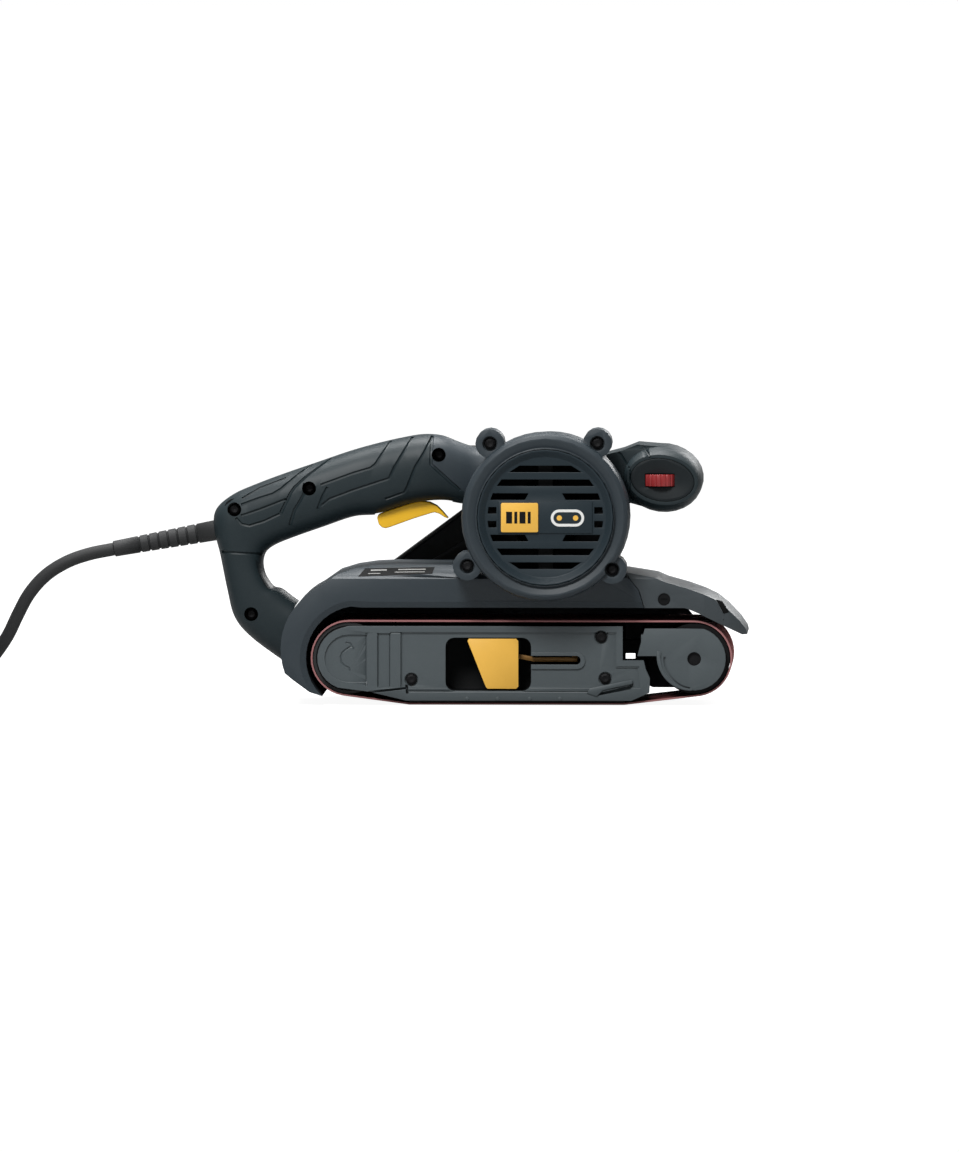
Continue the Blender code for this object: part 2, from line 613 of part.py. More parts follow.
def build_rollers():
    half = BELT_HALF - 1.2 * MM
    core_r = ROLLER_R - BELT_GAP - SLEEVE_THICK - GAP
    rim = core_r - 3 * MM
    core = [(DRIVE_SHAFT_R + GAP, -0.4 * half), (rim, -0.4 * half), (rim, -half), (core_r, -half),
            (core_r, half),
            (DRIVE_SHAFT_R + GAP, half)]
    pivot(turned("drive_roller", core, DRIVE_X, AXLE_Z, 28, ALUMINIUM), DRIVE_X, 0, AXLE_Z)
    sleeve = ring("roller_sleeve", DRIVE_X, AXLE_Z, core_r + GAP, ROLLER_R - BELT_GAP, -half, half, 36,
                  BLACK_RUBBER)
    pivot(sleeve, DRIVE_X, 0, AXLE_Z)
    shaft_end = PULLEY_Y + PULLEY_WIDE + 1.2 * MM
    shaft = [(0, PLATE_BACK + 0.6 * MM), (DRIVE_SHAFT_R, PLATE_BACK + 0.6 * MM), (DRIVE_SHAFT_R, shaft_end),
             (0, shaft_end)]
    pivot(turned("drive_shaft", shaft, DRIVE_X, AXLE_Z, 20, STEEL), DRIVE_X, 0, AXLE_Z)
    ring("drive_bearing", DRIVE_X, AXLE_Z, DRIVE_SHAFT_R + GAP, BEARING_R, WALL_IN - 3 * MM,
         WALL_IN - 3 * MM + BEARING_WIDE,
         20, STEEL)
    tyre_r = ROLLER_R - BELT_GAP
    front = [(AXLE_R + GAP, -half), (tyre_r - 0.3 * MM, -half), (tyre_r, -0.5 * half), (tyre_r, 0.5 * half),
             (tyre_r - 0.3 * MM, half), (AXLE_R + GAP, half)]
    pivot(turned("front_roller", front, FRONT_X, AXLE_Z, 36, ALUMINIUM), FRONT_X, 0, AXLE_Z)


# ======== Casing ========

PULLEY_Y = HOOD_LEFT + 3.5 * MM
HOOD_ARC_X = DRIVE_X + 1.1 * MM
HOOD_ARC_Z = AXLE_Z + 5.1 * MM
HOOD_ARC_R = ROLLER_R + BELT_THICK + SCOOP_GAP + SCOOP_THICK + 1.6 * MM


def hood_outline():
    """The main casing from the side, with the belt's space still filled."""
    low = AXLE_Z - ROLLER_R - BELT_THICK - 2.2 * MM
    points = [(DRIVE_X + 11 * MM, low + 0.4 * MM), (DRIVE_X - 8 * MM, low),
              (DRIVE_X - 22 * MM, low + 4.6 * MM),
              (DRIVE_X - 31.5 * MM, low + 11.5 * MM)]
    points += arc(HOOD_ARC_X, HOOD_ARC_Z, HOOD_ARC_R, 200, 116, 12)
    points += [(DRIVE_X - 6.5 * MM, HOOD_TOP_Z - 5.4 * MM), (DRIVE_X + 3.5 * MM, HOOD_TOP_Z - 2.2 * MM),
               (DRIVE_X + 14.5 * MM, HOOD_TOP_Z - 0.5 * MM), (DRIVE_X + 25 * MM, HOOD_TOP_Z),
               (MOTOR_X + 30 * MM, HOOD_TOP_Z - 1.0 * MM),
               (SEAM_X - SEAM_LEAN - 1.5 * GAP, HOOD_TOP_Z - 4.0 * MM),
               (SEAM_X - 3.0 * MM - 1.5 * GAP, SKIRT_Z + 10 * MM), (SEAM_X - 1.5 * GAP, SKIRT_Z),
               (WALL_FRONT_X, SKIRT_Z),
               (WALL_FRONT_X, low + 6 * MM), (WALL_FRONT_X - 12 * MM, low + 0.4 * MM)]
    return points


def roof(x0, x1, right=HOOD_RIGHT, left=HOOD_LEFT, drop=0.0):
    """The hood's cross-section along X: upright sides and sloping shoulders."""
    top = HOOD_TOP_Z + 2 * MM
    inward = SHOULDER_IN * (top - CREASE_Z) / (HOOD_TOP_Z - CREASE_Z)
    outline = [(right, -5 * MM), (right, CREASE_Z - drop), (right + inward, top - drop),
               (left - inward, top - drop),
               (left, CREASE_Z - drop), (left, -5 * MM)]
    return prism("roof", outline, x0, x1, "X")


def tunnel_outline():
    """The space over and behind the belt, open below and in front."""
    inner_r = ROLLER_R + BELT_THICK + SCOOP_GAP + 5.8 * MM
    centre_x = DRIVE_X + 5.6 * MM
    start = (centre_x + inner_r * math.cos(math.radians(232)),
             AXLE_Z + inner_r * math.sin(math.radians(232)))
    points = [(FRONT_X, -10 * MM), (start[0] + 2 * MM, -10 * MM)]
    points += arc(centre_x, AXLE_Z, inner_r, 232, 98, 16)
    points += [(centre_x + 2 * MM, SKIRT_Z), (FRONT_X, SKIRT_Z)]
    return points


def hood_inside():
    """The hollow under the hood's roof, which opens down into the belt's space."""
    top = HOOD_TOP_Z - HOOD_WALL
    return [(DRIVE_X - 13 * MM, SKIRT_Z - MM), (DRIVE_X - 9 * MM, top - 10.5 * MM),
            (DRIVE_X - 3 * MM, top - 6 * MM),
            (DRIVE_X + 6 * MM, top - 2.8 * MM), (DRIVE_X + 25 * MM, top - 0.5 * MM),
            (MOTOR_X + 29 * MM, top - 1.5 * MM),
            (SEAM_X - SEAM_LEAN - HOOD_WALL, top - 4.5 * MM),
            (SEAM_X - HOOD_WALL - 3 * MM, SKIRT_Z + 9 * MM),
            (SEAM_X - HOOD_WALL, SKIRT_Z - MM)]


def boss_places():
    turns = [(math.radians(degrees), reach) for degrees, reach in BOSSES]
    return [(MOTOR_X + reach * math.cos(a), MOTOR_Z + reach * math.sin(a)) for a, reach in turns]


def build_main_housing():
    housing = prism("main_housing", hood_outline(), HOOD_RIGHT, HOOD_LEFT, finish=CASING)
    common(housing, roof(-0.5, 0.5))
    join(housing, rod("barrel", MOTOR_X, MOTOR_Z, BARREL_BODY_R, BARREL_RIGHT, HOOD_LEFT, count=48),
         rod("flange", MOTOR_X, MOTOR_Z, BARREL_R, BARREL_RIGHT, BARREL_RIGHT + FLANGE_LONG, count=48))
    for x, z in boss_places():
        join(housing, rod("boss", x, z, BOSS_R, BARREL_RIGHT, BARREL_RIGHT + BOSS_LONG, count=16))
    for x, z in boss_places():
        cut(housing, rod("thread", x, z, 1.8 * MM + GAP, BARREL_RIGHT - MM,
                         BARREL_RIGHT + BOSS_LONG - 0.5 * MM,
                         count=10))
    web = HOOD_LEFT - 8 * MM
    bearing_y = HOOD_LEFT - BEARING_WIDE - 1.5 * MM
    cut(
        housing,
        rod("bore", MOTOR_X, MOTOR_Z, BARREL_BODY_R - BARREL_WALL, BARREL_RIGHT - MM, web, count=40),
        rod("bearing_seat", MOTOR_X, MOTOR_Z, BEARING_R + GAP, bearing_y - GAP,
            bearing_y + BEARING_WIDE + GAP, count=24),
        rod("shaft_hole", MOTOR_X, MOTOR_Z, SHAFT_R + 2 * MM, web - MM, HOOD_LEFT + MM, count=16),
        prism("tunnel", tunnel_outline(), HOOD_RIGHT - MM, WALL_IN),
        rod("drive_seat", DRIVE_X, AXLE_Z, BEARING_R + GAP, WALL_IN - MM,
            WALL_IN - 3 * MM + BEARING_WIDE + GAP, count=24),
        rod("drive_hole", DRIVE_X, AXLE_Z, DRIVE_SHAFT_R + 1.5 * MM, WALL_IN - MM, HOOD_LEFT + MM,
            count=16),
    )
    hollow = prism("hollow", hood_inside(), HOOD_RIGHT, HOOD_LEFT)
    common(hollow, roof(-0.5, 0.5, HOOD_RIGHT + HOOD_WALL, WALL_IN, HOOD_WALL))
    cut(hollow, rod("barrel", MOTOR_X, MOTOR_Z, BARREL_R + 0.8 * MM, -0.2, 0.2, count=48))
    cut(housing, hollow)
    dust = box_outline(MOTOR_X - BARREL_R - 5 * MM, MOTOR_X - 25 * MM, MOTOR_Z + 14 * MM, MOTOR_Z + 28 * MM)
    cut(housing, prism("dust_window", dust, web - 14 * MM, web - 2 * MM))
    slot_z = AXLE_Z - 1.1 * MM
    heel_x, heel_z = FRONT_X - 35 * MM, AXLE_Z - ROLLER_R
    wall = [(WALL_FRONT_X - MM, slot_z), (heel_x, slot_z), (heel_x, heel_z + 5 * MM),
            (heel_x + 10 * MM, heel_z), (FRONT_X - 5 * MM, heel_z), (FRONT_X - 5 * MM, AXLE_Z + 8 * MM),
            (FRONT_X, AXLE_Z + 0.9 * ROLLER_R), (FRONT_X - 8.5 * MM, SKIRT_Z - GAP),
            (WALL_FRONT_X - MM, SKIRT_Z - GAP)]
    join(housing, prism("front_wall", wall, WALL_IN + TILT_ROOM, HOOD_LEFT),
         rod("lug", TRACK_X, TRACK_Z, 8 * MM, WALL_IN, HOOD_LEFT, count=24))
    cut(housing, rod("track_hole", TRACK_X, TRACK_Z, TRACK_SCREW_R + GAP, WALL_IN - MM, HOOD_LEFT + MM,
                     count=16))
    return housing


TRACK_X = FRONT_X - 20.0 * MM
TRACK_Z = AXLE_Z + 11.0 * MM
TRACK_SCREW_R = 2.5 * MM


def build_tracking_knob():
    start = HOOD_LEFT + 0.8 * MM
    profile = [(0, -CHEEK_OUT + 0.6 * MM), (TRACK_SCREW_R, -CHEEK_OUT + 0.6 * MM), (TRACK_SCREW_R, start),
               (8.5 * MM, start),
               (9 * MM, start + MM), (8.2 * MM, start + 10 * MM), (7.2 * MM, start + 11 * MM),
               (0, start + 11 * MM)]
    knob = turned("tracking_knob", profile, TRACK_X, TRACK_Z, 24, BLACK)
    return pivot(knob, TRACK_X, 0, TRACK_Z)


def build_motor_cover():
    outer, face, back = BARREL_R, COVER_FACE, BARREL_RIGHT - GAP
    seat_y = face + DISH_DEPTH + GRILLE_THICK + 1.4 * MM
    profile = [
        (GRILLE_R + GAP, face), (outer - COVER_FACE_IN, face), (outer - 0.9 * MM, face + 1.4 * MM),
        (outer, face + 4.5 * MM),
        (outer, back), (outer - BARREL_WALL, back), (outer - BARREL_WALL, seat_y + 3 * MM),
        (GRILLE_R - 4 * MM, seat_y + 3 * MM),
        (GRILLE_R - 4 * MM, seat_y), (GRILLE_R + GAP, seat_y),
    ]
    cover = turned("motor_end_cover", profile, MOTOR_X, MOTOR_Z, 36, CASING)
    for x, z in boss_places():
        boss = rod("boss", x, z, BOSS_R, face + 4 * MM, back, count=16)
        cut(boss, rod("inside", MOTOR_X, MOTOR_Z, outer - 2 * MM, face - MM, back + MM, count=32))
        join(cover, boss)
    arm = GRILLE_R - 2 * MM
    for angle in (0, 90):
        wide, high = (arm, 4 * MM) if angle == 0 else (4 * MM, arm)
        outline = [(MOTOR_X - wide, MOTOR_Z - high), (MOTOR_X + wide, MOTOR_Z - high),
                   (MOTOR_X + wide, MOTOR_Z + high),
                   (MOTOR_X - wide, MOTOR_Z + high)]
        join(cover, prism("spoke", outline, seat_y + 0.2 * MM, seat_y + 2.8 * MM))
    bearing_y = COVER_BEARING_Y
    join(cover, rod("hub", MOTOR_X, MOTOR_Z, BEARING_R + 2.5 * MM, bearing_y - 1.5 * MM,
                    bearing_y + BEARING_WIDE - MM, count=32))
    cut(cover, rod("bearing_seat", MOTOR_X, MOTOR_Z, BEARING_R + GAP, bearing_y - GAP,
                   bearing_y + BEARING_WIDE + 5 * MM, count=24))
    for x, z in boss_places():
        cut(cover, rod("well", x, z, BOSS_HOLE_R, face - MM, face + 8 * MM, count=14),
            rod("hole", x, z, 1.8 * MM + GAP, face - MM, back + MM, count=10))
    return cover


COVER_BEARING_Y = COVER_FACE + DISH_DEPTH + GRILLE_THICK + 3.2 * MM


def slot_rows():
    """The grille's slots as closed outlines, in rows either side of the centre, cut off by one circle."""
    rows = []
    for k in range(4):
        for side in (-1, 1):
            z = side * (k + 0.5) * SLOT_PITCH
            low, high = z - SLOT_HIGH / 2, z + SLOT_HIGH / 2
            reach_low = math.sqrt(SLOT_R**2 - low**2)
            reach_high = math.sqrt(SLOT_R**2 - high**2)
            if k >= 2:
                rows.append([(-reach_low, low), (reach_low, low), (reach_high, high), (-reach_high, high)])
                continue
            inner_low, inner_high = (27.6 * MM, 27.6 * MM) if k == 0 else (11.5 * MM, 9.5 * MM)
            if side < 0:
                inner_low, inner_high = inner_high, inner_low
            rows.append([(inner_low, low), (reach_low, low), (reach_high, high), (inner_high, high)])
            rows.append([(-reach_low, low), (-inner_low, low), (-inner_high, high), (-reach_high, high)])
    return rows


def build_grille():
    face, dish = COVER_FACE + 0.4 * MM, COVER_FACE + DISH_DEPTH
    back = dish + GRILLE_THICK
    profile = [(0, dish), (DISH_R, dish), (GRILLE_R - MM, face), (GRILLE_R, face), (GRILLE_R, back),
               (0, back)]
    grille = turned("vent_grille", profile, MOTOR_X, MOTOR_Z, 32, CASING)
    panel = [(MOTOR_X - 26.5 * MM, MOTOR_Z - 9 * MM), (MOTOR_X + 26.5 * MM, MOTOR_Z - 9 * MM),
             (MOTOR_X + 26.5 * MM, MOTOR_Z + 9 * MM),
             (MOTOR_X - 26.5 * MM, MOTOR_Z + 9 * MM)]
    join(grille, prism("panel", panel, dish - PANEL_RISE, dish + MM))
    for row in slot_rows():
        outline = [(MOTOR_X + x, MOTOR_Z + z) for x, z in row]
        cut(grille, prism("slot", outline, face - 5 * MM, back + 5 * MM))
    badge = rounded(MOTOR_X - 25.0 * MM, MOTOR_Z - 8.4 * MM, MOTOR_X - 4.0 * MM, MOTOR_Z + 8.2 * MM,
                    0.8 * MM, 2)
    prism("badge_plate", badge, dish - PANEL_RISE - GAP - 0.8 * MM, dish - PANEL_RISE - GAP, finish=YELLOW)


PANEL_RISE = 0.7 * MM


def nose_outline(inset=0.0):
    """The nose from the side: a long slope down to a lip in front of the belt."""
    s = inset
    return [
        (SEAM_X, SKIRT_Z), (SEAM_X - 3.0 * MM, SKIRT_Z + 10 * MM),
        (SEAM_X - SEAM_LEAN, HOOD_TOP_Z - 4.0 * MM - s),
        (FRONT_X - 21.9 * MM, SKIRT_Z + 17.0 * MM - s), (FRONT_X - 15.9 * MM, SKIRT_Z + 14.4 * MM - s),
        (FRONT_X - 3.7 * MM, SKIRT_Z + 11.0 * MM - s), (FRONT_X + 5.0 * MM, SKIRT_Z + 7.9 * MM - s),
        (FRONT_X + 12.2 * MM - s, SKIRT_Z + 4.6 * MM - s),
        (FRONT_X + 18.0 * MM - s, SKIRT_Z + 0.2 * MM - s),
        (FRONT_X + 25.6 * MM - s, SKIRT_Z - 7.4 * MM - s),
        (FRONT_X + 29.2 * MM - s, SKIRT_Z - 12.5 * MM), (FRONT_X + 29.9 * MM - s, SKIRT_Z - 15.2 * MM + s),
        (FRONT_X + 27.0 * MM - s, SKIRT_Z - 15.3 * MM + s), (FRONT_X + 14.6 * MM, SKIRT_Z - 9.0 * MM),
        (FRONT_X + 2.4 * MM, SKIRT_Z - 3.0 * MM), (FRONT_X - 3.7 * MM, SKIRT_Z - 0.5 * MM),
        (FRONT_X - 5.5 * MM, SKIRT_Z),
    ]


def build_nose():
    nose = prism("front_hood", nose_outline(), HOOD_RIGHT, HOOD_LEFT, finish=CASING_LIGHT)
    common(nose, roof(-0.5, 0.5))
    mid = (HOOD_RIGHT + HOOD_LEFT) / 2
    half = (HOOD_LEFT - HOOD_RIGHT) / 2
    plan = [(SEAM_X - 20 * MM, mid - half), (FRONT_X + 6 * MM, mid - half),
            (FRONT_X + 20 * MM, mid - half + 4 * MM),
            (FRONT_X + 31 * MM, mid - half + 12 * MM), (FRONT_X + 31 * MM, mid + half - 12 * MM),
            (FRONT_X + 20 * MM, mid + half - 4 * MM), (FRONT_X + 6 * MM, mid + half),
            (SEAM_X - 20 * MM, mid + half)]
    common(nose, prism("plan", plan, -0.1, 0.3, "Z"))
    t = NOSE_THICK
    inside = [(SEAM_X - 20 * MM, SKIRT_Z - 5 * MM), (SEAM_X - 20 * MM, CREASE_Z - 3 * MM),
              (FRONT_X - 20 * MM, SKIRT_Z + 15.5 * MM - t),
              (FRONT_X + 4 * MM, SKIRT_Z + 7.0 * MM - t), (FRONT_X + 17 * MM, SKIRT_Z - 3.6 * MM - t),
              (FRONT_X + 13 * MM, SKIRT_Z - 12 * MM), (FRONT_X - 10 * MM, SKIRT_Z - 5 * MM)]
    cut(nose, prism("inside", inside, HOOD_RIGHT + t, HOOD_LEFT - t))
    hole = rod("screw_well", FRONT_X - 17 * MM, SKIRT_Z + 4.9 * MM, 3.6 * MM, HOOD_RIGHT - MM,
               HOOD_RIGHT + 1.8 * MM, count=16)
    cut(nose, hole)
    for x, z in boss_places():
        cut(nose, rod("boss_room", x, z, BOSS_R + GAP, -0.2, BARREL_RIGHT + BOSS_LONG + GAP, count=16))
    return nose


def cover_discs():
    return [(DRIVE_X, AXLE_Z, DRIVE_COVER_REAR_R), (DRIVE_X + 4.6 * MM, AXLE_Z + 4.7 * MM,
                                                    DRIVE_COVER_KNEE_R),
            (MOTOR_X, MOTOR_Z, DRIVE_COVER_MOTOR_R)]


def build_drive_cover():
    """The cover of the toothed drive, on the +Y side."""
    start = HOOD_LEFT + GAP
    end = start + DRIVE_COVER_DEEP
    edge = 2 * MM
    outer, face = around(cover_discs(), 0, 48), around(cover_discs(), -edge, 48)
    rings = [[(x, start, z) for x, z in outer], [(x, end - edge, z) for x, z in outer],
             [(x, end, z) for x, z in face]]
    cover = lofted("drive_cover", rings, BLACK)
    cut(cover, prism("inside", around(cover_discs(), -DRIVE_COVER_WALL, 40), start - MM,
                     end - 2 * DRIVE_COVER_WALL))
    return cover


def build_drive_train():
    teeth = (("motor_pulley", MOTOR_X, MOTOR_Z, MOTOR_PULLEY_R, 11, SHAFT_R),
             ("driven_pulley", DRIVE_X, AXLE_Z, DRIVEN_PULLEY_R, 28, DRIVE_SHAFT_R))
    for name, x, z, radius, count, bore in teeth:
        outline = []
        for i in range(count):
            for share, r in ((0.0, radius), (0.5, radius), (0.75, radius - MM)):
                angle = 2 * math.pi * (i + share) / count
                outline.append((x + r * math.cos(angle), z + r * math.sin(angle)))
        pulley = prism(name, outline, PULLEY_Y, PULLEY_Y + PULLEY_WIDE,
                       finish=STEEL if bore == SHAFT_R else BLACK)
        cut(pulley, rod("bore", x, z, bore + GAP, PULLEY_Y - MM, PULLEY_Y + PULLEY_WIDE + MM, count=20))
        pivot(pulley, x, 0, z)
    discs = [(DRIVE_X, AXLE_Z, DRIVEN_PULLEY_R + GAP), (MOTOR_X, MOTOR_Z, MOTOR_PULLEY_R + GAP)]
    belt = prism("timing_belt", around(discs, TIMING_THICK, 28), PULLEY_Y + 0.5 * MM,
                 PULLEY_Y + PULLEY_WIDE - 0.5 * MM, finish=BLACK_RUBBER)
    cut(belt, prism("inside", around(discs, 0, 28), PULLEY_Y - MM, PULLEY_Y + PULLEY_WIDE + MM))


# ======== Motor ========


def build_motor():
    shaft_start = COVER_BEARING_Y + 0.5 * MM
    shaft_end = PULLEY_Y + PULLEY_WIDE + 1.2 * MM
    shaft = [(0, shaft_start), (SHAFT_R, shaft_start), (SHAFT_R, shaft_end), (0, shaft_end)]
    pivot(turned("motor_shaft", shaft, MOTOR_X, MOTOR_Z, 20, STEEL), MOTOR_X, 0, MOTOR_Z)
    bearing_y = HOOD_LEFT - BEARING_WIDE - 1.5 * MM
    ring("motor_bearing_left", MOTOR_X, MOTOR_Z, SHAFT_R + GAP, BEARING_R, bearing_y,
         bearing_y + BEARING_WIDE, 20, STEEL)
    ring("motor_bearing_right", MOTOR_X, MOTOR_Z, SHAFT_R + GAP, BEARING_R, COVER_BEARING_Y,
         COVER_BEARING_Y + BEARING_WIDE, 20, STEEL)
    web = HOOD_LEFT - 8 * MM
    fan_end = web - 2.5 * MM
    fan_start = fan_end - FAN_WIDE
    core_end = fan_start - 7 * MM
    core_start = core_end - ARMATURE_LONG
    outline = []
    count = 12
    for i in range(count):
        for share, r in ((0.0, ARMATURE_R), (0.72, ARMATURE_R), (0.76, ARMATURE_R - 4 * MM),
                         (0.96, ARMATURE_R - 4 * MM)):
            angle = 2 * math.pi * (i + share) / count
            outline.append((MOTOR_X + r * math.cos(angle), MOTOR_Z + r * math.sin(angle)))
    core = prism("armature_core", outline, core_start, core_end, finish=STEEL)
    commutator_end = core_start - 6 * MM
    join(core, rod("coil_end", MOTOR_X, MOTOR_Z, ARMATURE_R - 5 * MM, commutator_end - MM,
                   core_end + 4 * MM, count=24))
    join(core, rod("commutator", MOTOR_X, MOTOR_Z, COMMUTATOR_R, commutator_end - COMMUTATOR_LONG,
                   commutator_end + MM, count=24))
    cut(core, rod("bore", MOTOR_X, MOTOR_Z, SHAFT_R + GAP, commutator_end - 30 * MM, core_end + 30 * MM,
                  count=20))
    pivot(core, MOTOR_X, 0, MOTOR_Z)
    fan = turned("cooling_fan", [(SHAFT_R + GAP, fan_start), (10 * MM, fan_start),
                                 (10 * MM, fan_end - 2 * MM), (FAN_R, fan_end - 2 * MM),
                                 (FAN_R, fan_end), (SHAFT_R + GAP, fan_end)], MOTOR_X, MOTOR_Z, 27, BLACK)
    for i in range(9):
        blade = prism("blade", [(9 * MM, -0.7 * MM), (FAN_R - MM, -0.7 * MM), (FAN_R - MM, 0.7 * MM),
                                (9 * MM, 0.7 * MM)],
                      fan_start, fan_end - MM)
        blade.data.transform(Matrix.Translation((MOTOR_X, 0,
                                                 MOTOR_Z)) @ Matrix.Rotation(2 * math.pi * i / 9, 4, "Y"))
        join(fan, blade)
    pivot(fan, MOTOR_X, 0, MOTOR_Z)
    stator = ring("stator_core", MOTOR_X, MOTOR_Z, ARMATURE_R + AIR_GAP, STATOR_R, core_start, core_end, 36,
                  STEEL)
    for side in (-1, 1):
        flat = box_outline(MOTOR_X + side * (STATOR_R - 2.7 * MM), MOTOR_X + side * STATOR_R,
                           MOTOR_Z - 12 * MM, MOTOR_Z + 12 * MM)
        cut(stator, prism("flat", flat, core_start - MM, core_end + MM))
    plate_y = commutator_end - COMMUTATOR_LONG
    brush = ring("brush_plate", MOTOR_X, MOTOR_Z, COMMUTATOR_R + 9 * MM,
                 BARREL_BODY_R - BARREL_WALL - 1.2 * MM, plate_y, plate_y + 3 * MM, 32, BLACK)
    for side in (-1, 1):
        root = MOTOR_X + side * COMMUTATOR_R
        holder = box_outline(root + side * 3 * MM, root + side * 22 * MM, MOTOR_Z - 5 * MM,
                             MOTOR_Z + 5 * MM)
        join(brush, prism("holder", holder, plate_y + 0.4 * MM, plate_y + 10.6 * MM))
        channel = box_outline(root + side * MM, root + side * 20 * MM, MOTOR_Z - 3 * MM, MOTOR_Z + 3 * MM)
        cut(brush, prism("channel", channel, plate_y + 2.6 * MM, plate_y + 9 * MM))
        name = "carbon_brush_rear" if side < 0 else "carbon_brush_front"
        block = box_outline(root + side * GAP, root + side * 15 * MM, MOTOR_Z - 2.7 * MM,
                            MOTOR_Z + 2.7 * MM)
        prism(name, block, plate_y + 2.9 * MM, plate_y + 8.7 * MM, finish=GRAPHITE)


# ======== Rear handle, trigger, switch and dust outlet ========


HANDLE_X = MOTOR_X - HANDLE_BACK
HANDLE_Z = MOTOR_Z - HANDLE_DOWN


def handle_stations():
    """Places along the rear handle, from the motor round to the hood: outer edge, inner edge, half width."""
    m, d = (HANDLE_X, HANDLE_Z), (DRIVE_X - HANDLE_BACK, AXLE_Z - HANDLE_DOWN)
    rows = [
        (m, (-38.0, 38.5), (-38.0, 6.0), 15.5), (m, (-48.0, 41.5), (-46.5, 6.5), 17.5),
        (m, (-58.0, 45.3), (-56.5, 8.0), 19.0),
        (m, (-68.5, 46.0), (-68.0, 7.5), 20.0), (m, (-79.5, 44.3), (-79.5, 5.2), 19.5),
        (m, (-94.0, 41.0), (-93.5, 0.5), 18.7),
        (m, (-110.0, 36.5), (-108.0, -0.8), 18.2), (m, (-129.0, 30.0), (-125.0, -6.5), 18.0),
        (m, (-147.0, 23.8), (-142.0, -12.5), 18.0),
        (m, (-163.0, 17.8), (-152.5, -16.8), 18.0), (m, (-177.0, 11.5), (-157.5, -20.5), 17.6),
        (m, (-186.5, 3.0), (-159.3, -25.0), 16.8),
        (m, (-187.6, -8.0), (-159.2, -30.0), 16.3), (m, (-184.2, -22.0), (-157.6, -35.0), 16.0),
        (m, (-180.2, -42.0), (-153.5, -40.5), 16.0),
        (d, (-64.0, 23.0), (-36.5, 39.0), 16.0), (d, (-54.5, 11.5), (-29.5, 33.8), 16.0),
        (d, (-37.0, -1.5), (-14.0, 23.0), 16.0),
    ]
    return [((o[0] + a[0] * MM, o[1] + a[1] * MM), (o[0] + b[0] * MM, o[1] + b[1] * MM),
             HANDLE_HALF * w / 18.5) for o, a, b, w in rows]


def handle_half(name, side):
    """One half of the rear handle, a shell: side is -1 for the right half and 1 for the left."""
    rings, count, flat = [], 6, 0.74
    for outer, inner, half in handle_stations():
        a, b = Vector((outer[0], 0, outer[1])), Vector((inner[0], 0, inner[1]))
        centre, up = (a + b) / 2, (a - b) / 2
        points = []
        for grow, order in ((0.0, range(count + 1)), (HANDLE_WALL, range(count, -1, -1))):
            tall = up.normalized() * (up.length - grow)
            wide = half - grow
            for i in order:
                t = math.pi * i / count
                across = abs(math.sin(t)) ** flat * wide if 0 < i < count else 0
                along = math.copysign(abs(math.cos(t)) ** flat, math.cos(t))
                points.append(centre + tall * along + Vector((0, side * (across + GAP / 2), 0)))
        rings.append(points)
    return lofted(name, rings, GRIP_RUBBER)


HANDLE_SCREW_PLACES = (
    (HANDLE_X - 59.5 * MM, HANDLE_Z + 34.8 * MM, 19.0 * MM),
    (HANDLE_X - 133.0 * MM, HANDLE_Z + 15.6 * MM, 18.0 * MM),
    (HANDLE_X - 175.5 * MM, HANDLE_Z + 3.6 * MM, 17.0 * MM),
    (DRIVE_X - HANDLE_BACK - 54.0 * MM, AXLE_Z - HANDLE_DOWN + 25.2 * MM, 16.0 * MM),
)
TRIGGER_TILT = math.radians(19.4)


def trigger_outline():
    """The trigger from the side: a long pad that curls down at its front end."""
    points = [(-92.8, -1.4), (-92.2, 0.4), (-90.0, 1.3), (-82.0, 4.2), (-72.0, 7.4), (-67.8, 8.1),
              (-63.0, 7.4), (-59.0, 5.4),
              (-55.5, 1.9), (-52.3, -1.8), (-54.6, -0.9), (-57.5, 1.0), (-60.2, 1.8), (-62.6, 1.2),
              (-72.2, -1.8), (-85.4, -6.6),
              (-87.8, -7.3), (-90.0, -6.8), (-91.8, -5.1)]
    return [(HANDLE_X + (x - 2) * MM, HANDLE_Z + z * MM) for x, z in points]


